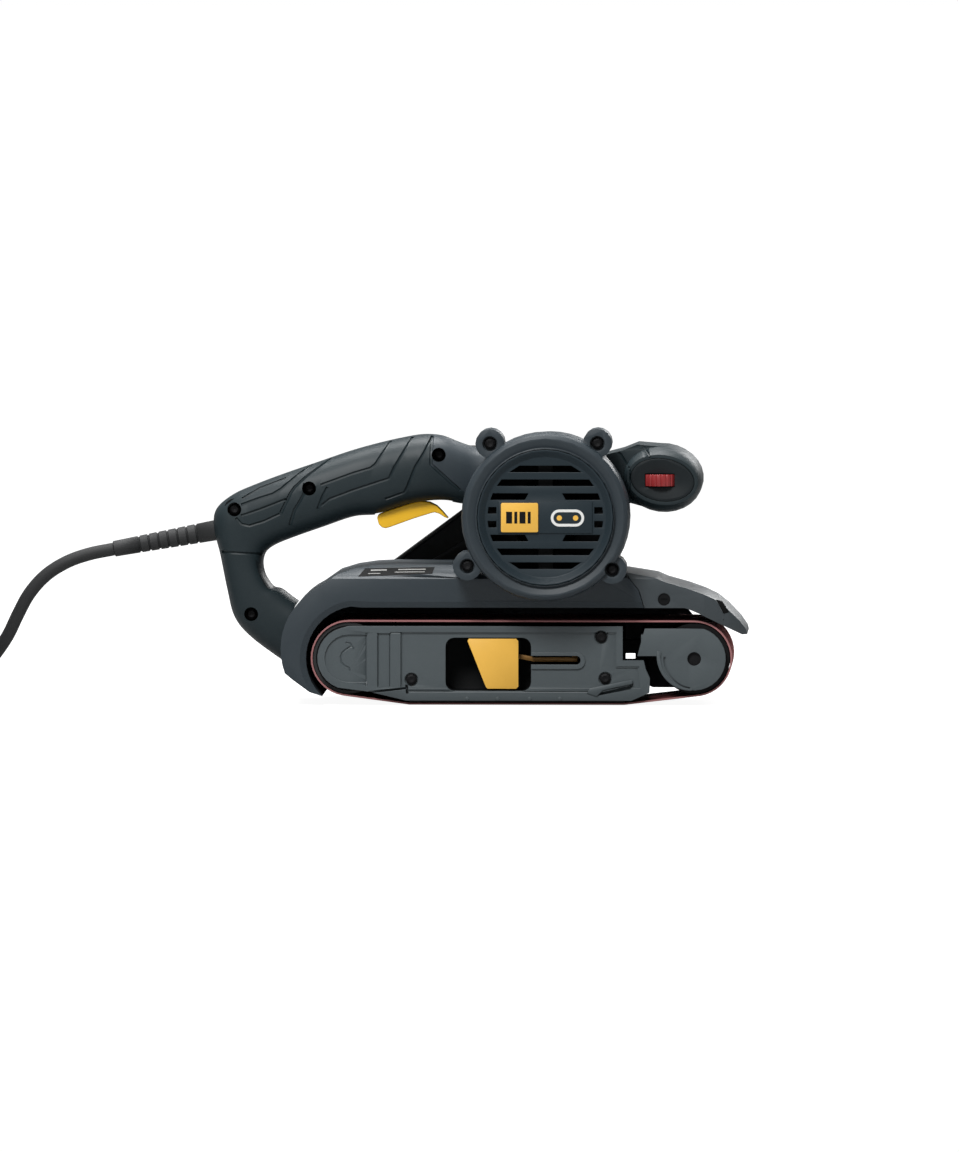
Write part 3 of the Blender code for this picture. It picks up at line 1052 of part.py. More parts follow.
def build_handle():
    up = Vector((-math.sin(TRIGGER_TILT), math.cos(TRIGGER_TILT)))
    slot_low = [(HANDLE_X - 96.2 * MM, HANDLE_Z - 9 * MM), (HANDLE_X - 52.0 * MM, HANDLE_Z - 9 * MM),
                (HANDLE_X - 52.0 * MM, HANDLE_Z + 12.5 * MM),
                (HANDLE_X - 66.0 * MM, HANDLE_Z + 15.5 * MM), (HANDLE_X - 96.2 * MM, HANDLE_Z + 6.5 * MM)]
    for name, side in (("handle_shell_right", -1), ("handle_shell_left", 1)):
        shell = handle_half(name, side)
        for x, z, half in HANDLE_SCREW_PLACES:
            low, high = sorted((side * GAP / 2, side * (half - 1.5 * MM)))
            boss = rod("boss", x, z, HANDLE_BOSS_R, low, high, count=20)
            join(shell, boss)
        cut(shell, rod("barrel", MOTOR_X, MOTOR_Z, BARREL_BODY_R + GAP, -0.2, 0.2, count=48),
            rod("hood", HOOD_ARC_X, HOOD_ARC_Z, HOOD_ARC_R + GAP, -0.2, 0.2, count=48),
            prism("trigger_slot", slot_low, -TRIGGER_HALF - 0.8 * MM, TRIGGER_HALF + 0.8 * MM))
        for x, z, half in HANDLE_SCREW_PLACES:
            cut(shell, rod("hole", x, z, 1.8 * MM + GAP, -12 * MM, 12 * MM, count=10))
            if side < 0:
                cut(shell, rod("well", x, z, HANDLE_SCREW_HOLE_R, -half - 5 * MM, -8 * MM, count=20))
        if side > 0:
            cut(shell, rod("button_hole", BUTTON_X, BUTTON_Z, BUTTON_R + GAP, 5 * MM, 30 * MM, count=20))
        cut(shell, guard_shape("guard_hole", GAP))
    trigger = prism("trigger", trigger_outline(), -TRIGGER_HALF, TRIGGER_HALF, finish=TRIGGER_YELLOW)
    stem_low = Vector((HANDLE_X - 78 * MM, HANDLE_Z + 2.5 * MM))
    corners = [stem_low, stem_low + Vector((9 * MM, 3.1 * MM))]
    stem = [tuple(corners[0]), tuple(corners[1]), tuple(corners[1] + up * 8 * MM),
            tuple(corners[0] + up * 8 * MM)]
    join(trigger, prism("stem", stem, -3 * MM, 3 * MM))
    body = [Vector((HANDLE_X - 88 * MM, HANDLE_Z + 14.2 * MM)),
            Vector((HANDLE_X - 68.5 * MM, HANDLE_Z + 17.8 * MM))]
    body = [tuple(body[0] + up * MM), tuple(body[1] + up * MM), tuple(body[1] + up * 12 * MM),
            tuple(body[0] + up * 14 * MM)]
    prism("switch_body", body, -8 * MM, 8 * MM, finish=BLACK)
    profile = [(0, 12 * MM), (BUTTON_R, 12 * MM), (BUTTON_R, BUTTON_OUT - MM), (BUTTON_R - MM, BUTTON_OUT),
               (0, BUTTON_OUT)]
    turned("lock_button", profile, BUTTON_X, BUTTON_Z, 20, TRIGGER_YELLOW)
    for i, (x, z, half) in enumerate(HANDLE_SCREW_PLACES):
        screw(f"handle_screw_{i + 1}", x, z, -10.9 * MM, 11 * MM)


BUTTON_X = HANDLE_X - 76 * MM
BUTTON_Z = HANDLE_Z + 25 * MM
BUTTON_R = 5 * MM
BUTTON_OUT = 22.5 * MM
GUARD_TILT = math.radians(-10.5)
GUARD_X = HANDLE_X - 183.5 * MM
GUARD_Z = HANDLE_Z - 8.2 * MM


def guard_shape(name, grow=0.0, finish=None):
    """The cord guard: a tapered sleeve that leaves the handle's rear end, slightly downwards."""
    out = Vector((-math.cos(GUARD_TILT), 0, math.sin(GUARD_TILT)))
    side = Vector((0, 1, 0))
    up = out.cross(side)
    root = Vector((GUARD_X, 0, GUARD_Z))
    steps = ((-6 * MM - grow, GUARD_ROOT_R + 1.5 * MM), (grow - 1.5 * MM, GUARD_ROOT_R + 1.5 * MM),
             (grow - 1.4 * MM, GUARD_ROOT_R), (GUARD_LONG, GUARD_TIP_R))
    turn = [2 * math.pi * k / 20 for k in range(20)]
    rings = [[root + out * along + (side * math.cos(a) + up * math.sin(a)) * (radius + grow) for a in turn]
             for along, radius in steps]
    return lofted(name, rings, finish)


def build_dust_outlet():
    y = OUTLET_Y
    start = MOTOR_X - 43 * MM
    outlet = rod("dust_outlet", y, OUTLET_Z, OUTLET_R, start - 28 * MM, start + 8 * MM, "X", 32, BLACK)
    box = [(OUTLET_BOX_Y, OUTLET_Z - 13 * MM), (y + OUTLET_R - MM, OUTLET_Z - 13 * MM),
           (y + OUTLET_R - MM, OUTLET_Z + 13 * MM), (OUTLET_BOX_Y, OUTLET_Z + 13 * MM)]
    join(outlet, prism("box", box, start - 4 * MM, start + 17 * MM, "X"))
    bore = OUTLET_R - OUTLET_WALL
    cut(outlet, rod("bore", y, OUTLET_Z, bore, start - 30 * MM, start + 2 * MM, "X", 32))
    inner = [(OUTLET_BOX_Y + 2 * MM, OUTLET_Z - 10.5 * MM), (y + OUTLET_R - 3.5 * MM, OUTLET_Z - 10.5 * MM),
             (y + OUTLET_R - 3.5 * MM, OUTLET_Z + 10.5 * MM),
             (OUTLET_BOX_Y + 2 * MM, OUTLET_Z + 10.5 * MM)]
    cut(outlet, prism("inner", inner, start - 1.5 * MM, start + 14 * MM, "X"))
    cut(outlet, rod("barrel", MOTOR_X, MOTOR_Z, BARREL_BODY_R + GAP, -0.2, HOOD_LEFT + GAP, count=48),
        prism("cover", around(cover_discs(), GAP, 48), -0.2, 0.2))
    return outlet


OUTLET_Y = HOOD_LEFT + 9.0 * MM
OUTLET_Z = MOTOR_Z + 21.0 * MM
OUTLET_BOX_Y = HOOD_LEFT - 23 * MM


# ======== Front handle and speed dial ========

GRIP_X = MOTOR_X + 65.4 * MM
GRIP_Z = MOTOR_Z + 20.0 * MM
GRIP_TILT = math.radians(-8)
CAP_Y = -GRIP_HALF + 3 * MM


def oval(y, long_r, high_r, count=28, dx=0.0, dz=0.0):
    """One oval ring of the front grip."""
    points = []
    for i in range(count):
        a = 2 * math.pi * i / count
        u, v = long_r * math.cos(a), high_r * math.sin(a)
        x = u * math.cos(GRIP_TILT) - v * math.sin(GRIP_TILT)
        z = u * math.sin(GRIP_TILT) + v * math.cos(GRIP_TILT)
        points.append((GRIP_X + dx + x, y, GRIP_Z + dz + z))
    return points


def build_front_handle():
    half = GRIP_HALF
    steps = [(-half, 0.9, 0.76), (-0.9 * half, 0.97, 0.9), (-0.7 * half, 1.0, 1.0), (0.7 * half, 1.0, 1.0),
             (0.9 * half, 0.97, 0.9), (half, 0.9, 0.76)]
    rings = [oval(y, GRIP_LONG_R * long, GRIP_HIGH_R * high) for y, long, high in steps]
    grip = lofted("front_grip", rings, GRIP_RUBBER)
    neck = [(MOTOR_X + 30 * MM, MOTOR_Z + 33 * MM), (MOTOR_X + 42.7 * MM, MOTOR_Z + 36.3 * MM),
            (MOTOR_X + 51 * MM, MOTOR_Z + 39.6 * MM),
            (MOTOR_X + 66 * MM, MOTOR_Z + 38.4 * MM), (MOTOR_X + 66 * MM, MOTOR_Z + 3.5 * MM),
            (MOTOR_X + 54 * MM, MOTOR_Z + 4.6 * MM),
            (MOTOR_X + 47.5 * MM, MOTOR_Z + 6.4 * MM), (MOTOR_X + 40 * MM, MOTOR_Z + 6.4 * MM)]
    join(grip, prism("neck", neck, -26 * MM, 26 * MM))
    cut(grip, rod("barrel", MOTOR_X, MOTOR_Z, BARREL_BODY_R + GAP, -0.2, 0.2, count=48))
    for x, z in boss_places():
        cut(grip, rod("boss_room", x, z, BOSS_R + GAP, -0.2, BARREL_RIGHT + BOSS_LONG + GAP, count=24))
    cap_long, cap_high = 0.8 * GRIP_LONG_R, 0.64 * GRIP_HIGH_R
    room_long, room_high = cap_long + GAP, cap_high + GAP
    cut(grip, lofted("cap_room", [oval(CAP_Y - 10 * MM, room_long, room_high),
                                  oval(CAP_Y, room_long, room_high)]))
    cap = lofted("grip_cap", [oval(-half - 0.4 * MM, cap_long, cap_high),
                              oval(CAP_Y - GAP, cap_long, cap_high)], BLACK)
    dish = lofted("dish", [oval(-half - 5 * MM, cap_long * 1.1, cap_high * 1.1),
                           oval(-half - 0.4 * MM, cap_long * 0.9, cap_high * 0.88),
                           oval(-half + 1.0 * MM, cap_long * 0.6, cap_high * 0.5)])
    cut(cap, dish)
    room = rod("dial_room", DIAL_X, DIAL_Y, DIAL_R + 0.5 * MM, DIAL_Z - DIAL_THICK / 2 - 0.5 * MM,
               DIAL_Z + DIAL_THICK / 2 + 0.5 * MM, "Z", 32)
    cut(cap, room)
    room = rod("dial_room", DIAL_X, DIAL_Y, DIAL_R + 0.6 * MM, DIAL_Z - DIAL_THICK / 2 - 0.6 * MM,
               DIAL_Z + DIAL_THICK / 2 + 0.6 * MM, "Z", 32)
    cut(grip, room)
    outline = []
    for i in range(18):
        for share, r in ((0.0, DIAL_R), (0.6, DIAL_R), (0.8, DIAL_R - 0.6 * MM)):
            angle = 2 * math.pi * (i + share) / 18
            outline.append((DIAL_X + r * math.cos(angle), DIAL_Y + r * math.sin(angle)))
    dial = prism("speed_dial", outline, DIAL_Z - DIAL_THICK / 2, DIAL_Z + DIAL_THICK / 2, "Z", RED)
    pivot(dial, DIAL_X, DIAL_Y, DIAL_Z)


DIAL_X = GRIP_X - 1.5 * MM
DIAL_Y = -GRIP_HALF + 5.5 * MM
DIAL_Z = GRIP_Z - 0.3 * MM


# ======== Fasteners, cord and plug ========


def build_screws():
    for i, (x, z) in enumerate(boss_places()):
        screw(f"cover_screw_{i + 1}", x, z, COVER_FACE + 5.1 * MM, BARREL_RIGHT + 14 * MM)
    for i, (x, z) in enumerate(PLATE_SCREWS):
        screw(f"plate_screw_{i + 1}", x, z, PLATE_FACE + 0.9 * MM, PLATE_BACK + 11 * MM, 3.3 * MM,
              head_long=1.9 * MM)


def cord_points():
    """The cord's route from the guard's tip down to the coil, chosen by hand, in metres."""
    return [
        (-0.2089, 0.0, 0.0862), (-0.2231, 0.0, 0.0833), (-0.2360, 0.0003, 0.0786),
        (-0.2478, 0.0015, 0.0710),
        (-0.2571, 0.0035, 0.0606), (-0.2638, 0.0065, 0.0485), (-0.2700, 0.0100, 0.0360),
        (-0.2785, 0.0150, 0.0240),
        (-0.2865, 0.0196, 0.0160),
    ]


def smooth_line(points, spacing):
    """Evenly spaced points on a smooth curve through the given ones."""
    ends = [2 * points[0] - points[1], *points, 2 * points[-1] - points[-2]]
    fine = []
    for a, b, c, d in zip(ends, ends[1:], ends[2:], ends[3:]):
        for i in range(12):
            t = i / 12
            bend, twist = 2 * a - 5 * b + 4 * c - d, 3 * b - a - 3 * c + d
            fine.append(0.5 * (2 * b + (c - a) * t + bend * t * t + twist * t**3))
    fine.append(points[-1])
    total = sum((b - a).length for a, b in zip(fine, fine[1:]))
    count = max(2, round(total / spacing))
    placed, along, step, index = [fine[0]], 0.0, total / count, 1
    for a, b in zip(fine, fine[1:]):
        length = (b - a).length
        while index < count and along + length >= index * step:
            placed.append(a + (b - a) * ((index * step - along) / length))
            index += 1
        along += length
    placed.append(fine[-1])
    return placed


COIL_X, COIL_Y = -0.340, -0.0163
COIL_R = 12 * CORD_R  # at the middle of its turns
COIL_WIDE, COIL_HIGH = 4, 3  # turns across and up
COIL_TOP = COIL_HIGH * 2 * CORD_R
TAIL_R = 34 * MM
TAIL_TURN = math.radians(100)
PLUG_HIGH = 16 * MM
RELIEF_LONG = 14 * MM


def tail_points():
    """The cord's end, which turns in across the top of the coil and rises to the middle of the plug."""
    centre = (COIL_X, COIL_Y + COIL_R - TAIL_R)
    low, high = COIL_TOP + CORD_R + GAP, COIL_TOP + GAP + PLUG_HIGH / 2
    points = []
    for i in range(9):
        turn = math.pi / 2 + TAIL_TURN * i / 8
        share = i / 8
        points.append((centre[0] + TAIL_R * math.cos(turn), centre[1] + TAIL_R * math.sin(turn),
                       low + (high - low) * share * share * (3 - 2 * share)))
    x, y, z = points[-1]
    heading = tail_heading()
    points.append((x + 8 * MM * math.cos(heading), y + 8 * MM * math.sin(heading), z))
    return points


def tail_heading():
    return math.pi + TAIL_TURN


def tube(name, points, spacing=5 * CORD_R):
    line = smooth_line([Vector(p) for p in points], spacing)
    curve = bpy.data.curves.new(name, "CURVE")
    curve.dimensions = "3D"
    curve.bevel_depth = CORD_R
    curve.bevel_resolution = 2
    curve.use_fill_caps = True
    spline = curve.splines.new("POLY")
    spline.points.add(len(line) - 1)
    for point, place in zip(spline.points, line):
        point.co = (*place, 1)
    curve.materials.append(BLACK_RUBBER)
    bpy.context.scene.collection.objects.link(bpy.data.objects.new(name, curve))


def build_plug():
    """A moulded two-pin plug, which lies across the coil."""
    relief = [(-0.0, CORD_R + 0.6 * MM), (RELIEF_LONG, CORD_R + 2.2 * MM)]
    rings = [[(x, r * math.cos(a),
               r * math.sin(a)) for a in (2 * math.pi * k / 16 for k in range(16))] for x, r in relief]
    plug = lofted("power_plug", rings, BLACK_RUBBER)
    start, end = RELIEF_LONG - MM, RELIEF_LONG + 30 * MM
    body = [rounded(-12 * MM * w, -PLUG_HIGH / 2 * h, 12 * MM * w, PLUG_HIGH / 2 * h, 4 * MM, 2) for w,
            h in ((0.75, 0.85), (1, 1), (1, 1))]
    places = (start, start + 6 * MM, end)
    join(plug, lofted("body", [[(x, y, z) for y, z in points] for x, points in zip(places, body)]))
    for side in (-1, 1):
        y = side * 6.35 * MM
        join(plug, prism("pin", [(y - 0.75 * MM, -3.2 * MM), (y + 0.75 * MM, -3.2 * MM),
                                 (y + 0.75 * MM, 3.2 * MM), (y - 0.75 * MM, 3.2 * MM)],
                         end - MM, end + 15 * MM, "X"))
    x, y, z = tail_points()[-1]
    heading = tail_heading()
    plug.location = (x + GAP * math.cos(heading), y + GAP * math.sin(heading), z)
    plug.rotation_euler = (0, 0, heading)


def build_cord():
    guard_shape("cord_guard", 0.0, BLACK_RUBBER)
    tube("power_cord", cord_points())
    tube("cord_tail", tail_points())
    half = COIL_WIDE * CORD_R
    coil = prism("cord_coil", circle(COIL_X, COIL_Y, COIL_R + half, 32), 0, COIL_TOP, "Z", BLACK_RUBBER)
    cut(coil, prism("middle", circle(COIL_X, COIL_Y, COIL_R - half, 32), -MM, COIL_TOP + MM, "Z"))
    build_plug()


build_belt()
build_sole()
build_side_plate()
build_frame()
build_lever()
build_tension_rod()
build_slider()
build_yoke()
build_spring()
build_rollers()
build_main_housing()
build_tracking_knob()
build_motor_cover()
build_grille()
build_nose()
build_drive_cover()
build_drive_train()
build_motor()
build_handle()
build_dust_outlet()
build_front_handle()
build_screws()
build_cord()

for piece in bpy.data.objects:
    if piece.type == "MESH":
        piece.data.shade_smooth()
        piece.data.set_sharp_from_angle(angle=SHARP)
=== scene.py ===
"""The looks of a handheld belt sander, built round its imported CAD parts. Metres, +Z up, +X to the nose."""

import json
import math

import bmesh
import bpy
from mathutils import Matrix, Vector


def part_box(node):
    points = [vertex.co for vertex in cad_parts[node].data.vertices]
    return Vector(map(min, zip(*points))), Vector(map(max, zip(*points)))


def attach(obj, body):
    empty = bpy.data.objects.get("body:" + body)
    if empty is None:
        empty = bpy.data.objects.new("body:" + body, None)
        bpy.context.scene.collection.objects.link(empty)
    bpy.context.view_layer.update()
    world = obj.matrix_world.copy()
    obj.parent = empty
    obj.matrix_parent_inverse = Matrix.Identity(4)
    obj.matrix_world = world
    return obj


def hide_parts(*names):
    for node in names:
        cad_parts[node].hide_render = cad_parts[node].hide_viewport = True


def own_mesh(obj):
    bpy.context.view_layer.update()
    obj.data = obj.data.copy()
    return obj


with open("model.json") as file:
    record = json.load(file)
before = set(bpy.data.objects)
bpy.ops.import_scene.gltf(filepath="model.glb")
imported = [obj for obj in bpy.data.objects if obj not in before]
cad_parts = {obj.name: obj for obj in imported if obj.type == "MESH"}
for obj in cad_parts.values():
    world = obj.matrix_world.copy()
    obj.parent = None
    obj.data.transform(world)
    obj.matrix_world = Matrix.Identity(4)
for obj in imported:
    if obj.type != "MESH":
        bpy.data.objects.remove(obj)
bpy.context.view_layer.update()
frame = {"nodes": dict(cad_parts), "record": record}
MM = 0.001
PI = math.pi
BEHAVIOUR = frame["record"]["behaviour"]
BODY_OF = {node: body for body, nodes in BEHAVIOUR["bodies"].items() for node in nodes}
JOINTS = {joint["name"]: joint for joint in BEHAVIOUR["joints"]}
MOTOR = Vector(JOINTS["motor_spin"]["pos_m"])
DRIVE = Vector(JOINTS["rear_roller_spin"]["pos_m"])
FRONT = Vector(JOINTS["nose_roller_spin"]["pos_m"])


# ---- Studio: a white floor that runs out to a white sky, a large soft light overhead and two weaker ones
# beside the camera. The camera stands far off with a long lens, a little above the tool and towards its nose.

def make_floor():
    """A floor that lights the tool as grey paper does, and looks white to the camera."""
    bpy.ops.object.select_all(action="DESELECT")
    bpy.ops.mesh.primitive_plane_add(size=60, location=(0, 0, -0.5 * MM))
    floor = bpy.context.object
    floor.name = "floor"
    paper = bpy.data.materials.new("paper")
    paper.use_nodes = True
    shader = paper.node_tree.nodes["Principled BSDF"]
    shader.inputs["Base Color"].default_value = (0.3, 0.3, 0.3, 1)
    shader.inputs["Roughness"].default_value = 0.9
    shader.inputs["Specular IOR Level"].default_value = 0.0
    shader.inputs["Emission Color"].default_value = (1, 1, 1, 1)
    seen = paper.node_tree.nodes.new("ShaderNodeLightPath")
    glow = paper.node_tree.nodes.new("ShaderNodeMath")
    glow.operation = "MULTIPLY"
    glow.inputs[1].default_value = 0.93
    paper.node_tree.links.new(seen.outputs["Is Camera Ray"], glow.inputs[0])
    paper.node_tree.links.new(glow.outputs["Value"], shader.inputs["Emission Strength"])
    floor.data.materials.append(paper)


def make_sky():
    """A sky that is dim as a light and white behind the tool."""
    sky = bpy.data.worlds.new("sky")
    sky.use_nodes = True
    nodes, link = sky.node_tree.nodes, sky.node_tree.links.new
    dim = nodes["Background"]
    dim.inputs["Color"].default_value = (1, 1, 1, 1)
    dim.inputs["Strength"].default_value = 0.3
    bright = nodes.new("ShaderNodeBackground")
    bright.inputs["Strength"].default_value = 1.0
    bright.inputs["Color"].default_value = (1, 1, 1, 1)
    which = nodes.new("ShaderNodeMixShader")
    path = nodes.new("ShaderNodeLightPath")
    link(path.outputs["Is Camera Ray"], which.inputs[0])
    link(dim.outputs[0], which.inputs[1])
    link(bright.outputs[0], which.inputs[2])
    link(which.outputs[0], nodes["World Output"].inputs["Surface"])
    bpy.context.scene.world = sky
    bpy.context.scene.view_settings.view_transform = "Standard"


def make_lamp(name, place, aim, size, power):
    """A square area lamp at place that faces aim."""
    lamp = bpy.data.lights.new(name, "AREA")
    lamp.energy = power
    lamp.size = size
    stand = bpy.data.objects.new(name, lamp)
    stand.location = place
    stand.rotation_euler = (Vector(aim) - Vector(place)).to_track_quat("-Z", "Y").to_euler()
    bpy.context.scene.collection.objects.link(stand)


def make_camera():
    azimuth, elevation, distance, frame_high = math.radians(1.7), math.radians(2.6), 10.0, 0.6509
    sensor = 36
    aim = Vector((0.00025, -0.045, 0.0732))
    back = Vector((math.sin(azimuth) * math.cos(elevation), -math.cos(azimuth) * math.cos(elevation),
                   math.sin(elevation)))
    data = bpy.data.cameras.new("camera")
    data.sensor_width = sensor
    data.lens = sensor * distance / frame_high
    data.clip_end = 100
    body = bpy.data.objects.new("camera", data)
    body.location = aim + back * distance
    body.rotation_euler = (-back).to_track_quat("-Z", "Y").to_euler()
    bpy.context.scene.collection.objects.link(body)
    bpy.context.scene.camera = body


make_floor()
make_sky()
make_lamp("top", (-0.1, 0.25, 1.5), (0, 0, 0.05), 0.9, 32)
make_lamp("key", (-0.45, -1.55, 1.5), (0, 0, 0.07), 0.6, 36)
make_lamp("fill", (0.9, 1.7, 1.0), (0, 0, 0.07), 0.8, 16)
make_camera()


# ---- Main housing: a glass-filled nylon moulding that holds the motor, the hood over the belt and the belt's
# far wall. Its open right edge is turned in, and a rating label is stuck on its shoulder behind the motor.

def new_group(name, inputs, outputs):
    """A shader node group with its named inputs and outputs."""
    group = bpy.data.node_groups.new(name, "ShaderNodeTree")
    for label, kind, value in inputs:
        socket = group.interface.new_socket(label, in_out="INPUT", socket_type=kind)
        socket.default_value = value
    for label, kind in outputs:
        group.interface.new_socket(label, in_out="OUTPUT", socket_type=kind)
    return group, group.nodes.new("NodeGroupInput"), group.nodes.new("NodeGroupOutput")


def grain_group():
    """Fine pebbled grain: a height for a bump, and a roughness that varies a little with it."""
    group, given, out = new_group(
        "grain",
        [("Vector", "NodeSocketVector", (0, 0, 0)), ("Scale", "NodeSocketFloat", 900.0),
         ("Roughness", "NodeSocketFloat", 0.5), ("Vary", "NodeSocketFloat", 0.1)],
        [("Height", "NodeSocketFloat"), ("Roughness", "NodeSocketFloat")],
    )
    fine = group.nodes.new("ShaderNodeTexNoise")
    fine.inputs["Detail"].default_value = 2.0
    coarse = group.nodes.new("ShaderNodeTexNoise")
    coarse.inputs["Scale"].default_value = 38.0
    coarse.inputs["Detail"].default_value = 3.0
    spread = group.nodes.new("ShaderNodeMath")
    spread.operation = "SUBTRACT"
    spread.inputs[1].default_value = 0.5
    scaled = group.nodes.new("ShaderNodeMath")
    scaled.operation = "MULTIPLY_ADD"
    link = group.links.new
    link(given.outputs["Vector"], fine.inputs["Vector"])
    link(given.outputs["Scale"], fine.inputs["Scale"])
    link(given.outputs["Vector"], coarse.inputs["Vector"])
    link(coarse.outputs["Fac"], spread.inputs[0])
    link(spread.outputs[0], scaled.inputs[0])
    link(given.outputs["Vary"], scaled.inputs[1])
    link(given.outputs["Roughness"], scaled.inputs[2])
    link(fine.outputs["Fac"], out.inputs["Height"])
    link(scaled.outputs[0], out.inputs["Roughness"])
    return group


def marks_group():
    """Handling marks: two colours mixed by broad clouds and short scuffs, so that no face is one tone."""
    group, given, out = new_group(
        "marks",
        [("Vector", "NodeSocketVector", (0, 0, 0)), ("Color", "NodeSocketColor", (0.1, 0.1, 0.1, 1)),
         ("Worn", "NodeSocketColor", (0.2, 0.2, 0.2, 1)), ("Amount", "NodeSocketFloat", 0.2)],
        [("Color", "NodeSocketColor")],
    )
    cloud = group.nodes.new("ShaderNodeTexNoise")
    cloud.inputs["Scale"].default_value = 24.0
    cloud.inputs["Detail"].default_value = 5.0
    scuff = group.nodes.new("ShaderNodeTexNoise")
    scuff.inputs["Scale"].default_value = 210.0
    scuff.inputs["Detail"].default_value = 2.0
    both = group.nodes.new("ShaderNodeMath")
    both.operation = "MULTIPLY"
    strength = group.nodes.new("ShaderNodeMath")
    strength.operation = "MULTIPLY"
    strength.use_clamp = True
    mix = group.nodes.new("ShaderNodeMix")
    mix.data_type = "RGBA"
    link = group.links.new
    for noise in (cloud, scuff):
        link(given.outputs["Vector"], noise.inputs["Vector"])
    link(cloud.outputs["Fac"], both.inputs[0])
    link(scuff.outputs["Fac"], both.inputs[1])
    link(both.outputs[0], strength.inputs[0])
    link(given.outputs["Amount"], strength.inputs[1])
    link(strength.outputs[0], mix.inputs["Factor"])
    link(given.outputs["Color"], mix.inputs["A"])
    link(given.outputs["Worn"], mix.inputs["B"])
    link(mix.outputs["Result"], out.inputs["Color"])
    return group


GRAIN = grain_group()
MARKS = marks_group()


def finish(name, colour, worn, amount, roughness, grain=900.0, bump=0.08, depth=0.1, metallic=0.0,
           specular=0.5):
    """A Principled material with grain and marks. Colours are linear. bump and depth (mm) are the relief."""
    made = bpy.data.materials.new(name)
    made.use_nodes = True
    nodes, link = made.node_tree.nodes, made.node_tree.links.new
    shader = nodes["Principled BSDF"]
    place = nodes.new("ShaderNodeTexCoord")
    surface = nodes.new("ShaderNodeGroup")
    surface.node_tree = GRAIN
    surface.inputs["Scale"].default_value = grain
    surface.inputs["Roughness"].default_value = roughness
    tone = nodes.new("ShaderNodeGroup")
    tone.node_tree = MARKS
    tone.inputs["Color"].default_value = (*colour, 1)
    tone.inputs["Worn"].default_value = (*worn, 1)
    tone.inputs["Amount"].default_value = amount
    relief = nodes.new("ShaderNodeBump")
    relief.inputs["Strength"].default_value = bump
    relief.inputs["Distance"].default_value = depth * MM
    link(place.outputs["Object"], surface.inputs["Vector"])
    link(place.outputs["Object"], tone.inputs["Vector"])
    link(tone.outputs["Color"], shader.inputs["Base Color"])
    link(surface.outputs["Roughness"], shader.inputs["Roughness"])
    link(surface.outputs["Height"], relief.inputs["Height"])
    link(relief.outputs["Normal"], shader.inputs["Normal"])
    shader.inputs["Metallic"].default_value = metallic
    shader.inputs["Specular IOR Level"].default_value = specular
    return made


CASING = finish("casing_plastic", (0.024, 0.034, 0.042), (0.038, 0.049, 0.057), 0.5, 0.46,
                bump=0.3, specular=0.4)
# Black plastic, and also painted shade: black sheets and black copies of inner parts stand for the shade
# inside slots, wells and the motor.
BLACK = finish("black_plastic", (0.004, 0.0045, 0.005), (0.008, 0.0085, 0.009), 0.4, 0.65,
               bump=0.3, specular=0.15)
LABEL_INK = finish("label_print", (0.22, 0.22, 0.21), (0.3, 0.3, 0.29), 0.4, 0.5, bump=0.05)


def make_active(piece):
    """Selects one object alone, for the operators that follow."""
    bpy.ops.object.select_all(action="DESELECT")
    piece.select_set(True)
    bpy.context.view_layer.objects.active = piece


def settle_new(piece, body, angle=35):
    """Shades a new or recut piece, and gives it its body."""
    make_active(piece)
    bpy.ops.object.shade_smooth_by_angle(angle=math.radians(angle))
    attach(piece, body)


def settle(piece, node_name, angle=35):
    """Shades a piece that stands for a node, gives it that node's body and hides the node."""
    settle_new(piece, BODY_OF[node_name], angle)
    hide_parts(node_name)


def mesh_piece(name, bm, *stocks):
    """A new object from a bmesh, with its materials."""
    mesh = bpy.data.meshes.new(name)
    bm.to_mesh(mesh)
    bm.free()
    for stock in stocks:
        mesh.materials.append(stock)
    piece = bpy.data.objects.new(name, mesh)
    bpy.context.scene.collection.objects.link(piece)
    return piece


def whole_copy(node_name):
    """A bmesh copy of a node with its loose triangles joined into whole flat faces."""
    near = 0.02 * MM
    bm = bmesh.new()
    bm.from_mesh(frame["nodes"][node_name].data)
    bmesh.ops.remove_doubles(bm, verts=bm.verts, dist=near)
    bmesh.ops.dissolve_degenerate(bm, dist=near, edges=bm.edges)
    bmesh.ops.dissolve_limit(bm, angle_limit=math.radians(1.0), verts=bm.verts, edges=bm.edges)
    return bm


def softened(node_name, width, *stocks, segments=2, pick=None):
    """A copy of a node with its sharp edges rounded by width (mm), which stands for it. pick gives a face's
    material number from its centre."""
    bm = whole_copy(node_name)
    least = math.radians(32)
    sharp = [e for e in bm.edges if len(e.link_faces) == 2 and e.calc_face_angle(0) > least]
    bmesh.ops.bevel(bm, geom=sharp, offset=width * MM, segments=segments, profile=0.5, affect="EDGES",
                    clamp_overlap=True, offset_type="OFFSET")
    if pick:
        for face in bm.faces:
            face.material_index = pick(face.calc_center_median())
    piece = mesh_piece(node_name + "_skin", bm, *stocks)
    settle(piece, node_name)
    return piece


def carve(piece, *tools):
    """Cuts closed tools out of a piece, one after another, and removes them."""
    for tool in tools:
        cut = piece.modifiers.new("cut", "BOOLEAN")
        cut.object = tool
        cut.operation = "DIFFERENCE"
        cut.solver = "EXACT"
        bpy.ops.object.select_all(action="DESELECT")
        bpy.context.view_layer.objects.active = piece
        bpy.ops.object.modifier_apply(modifier=cut.name)
        bpy.data.objects.remove(tool)


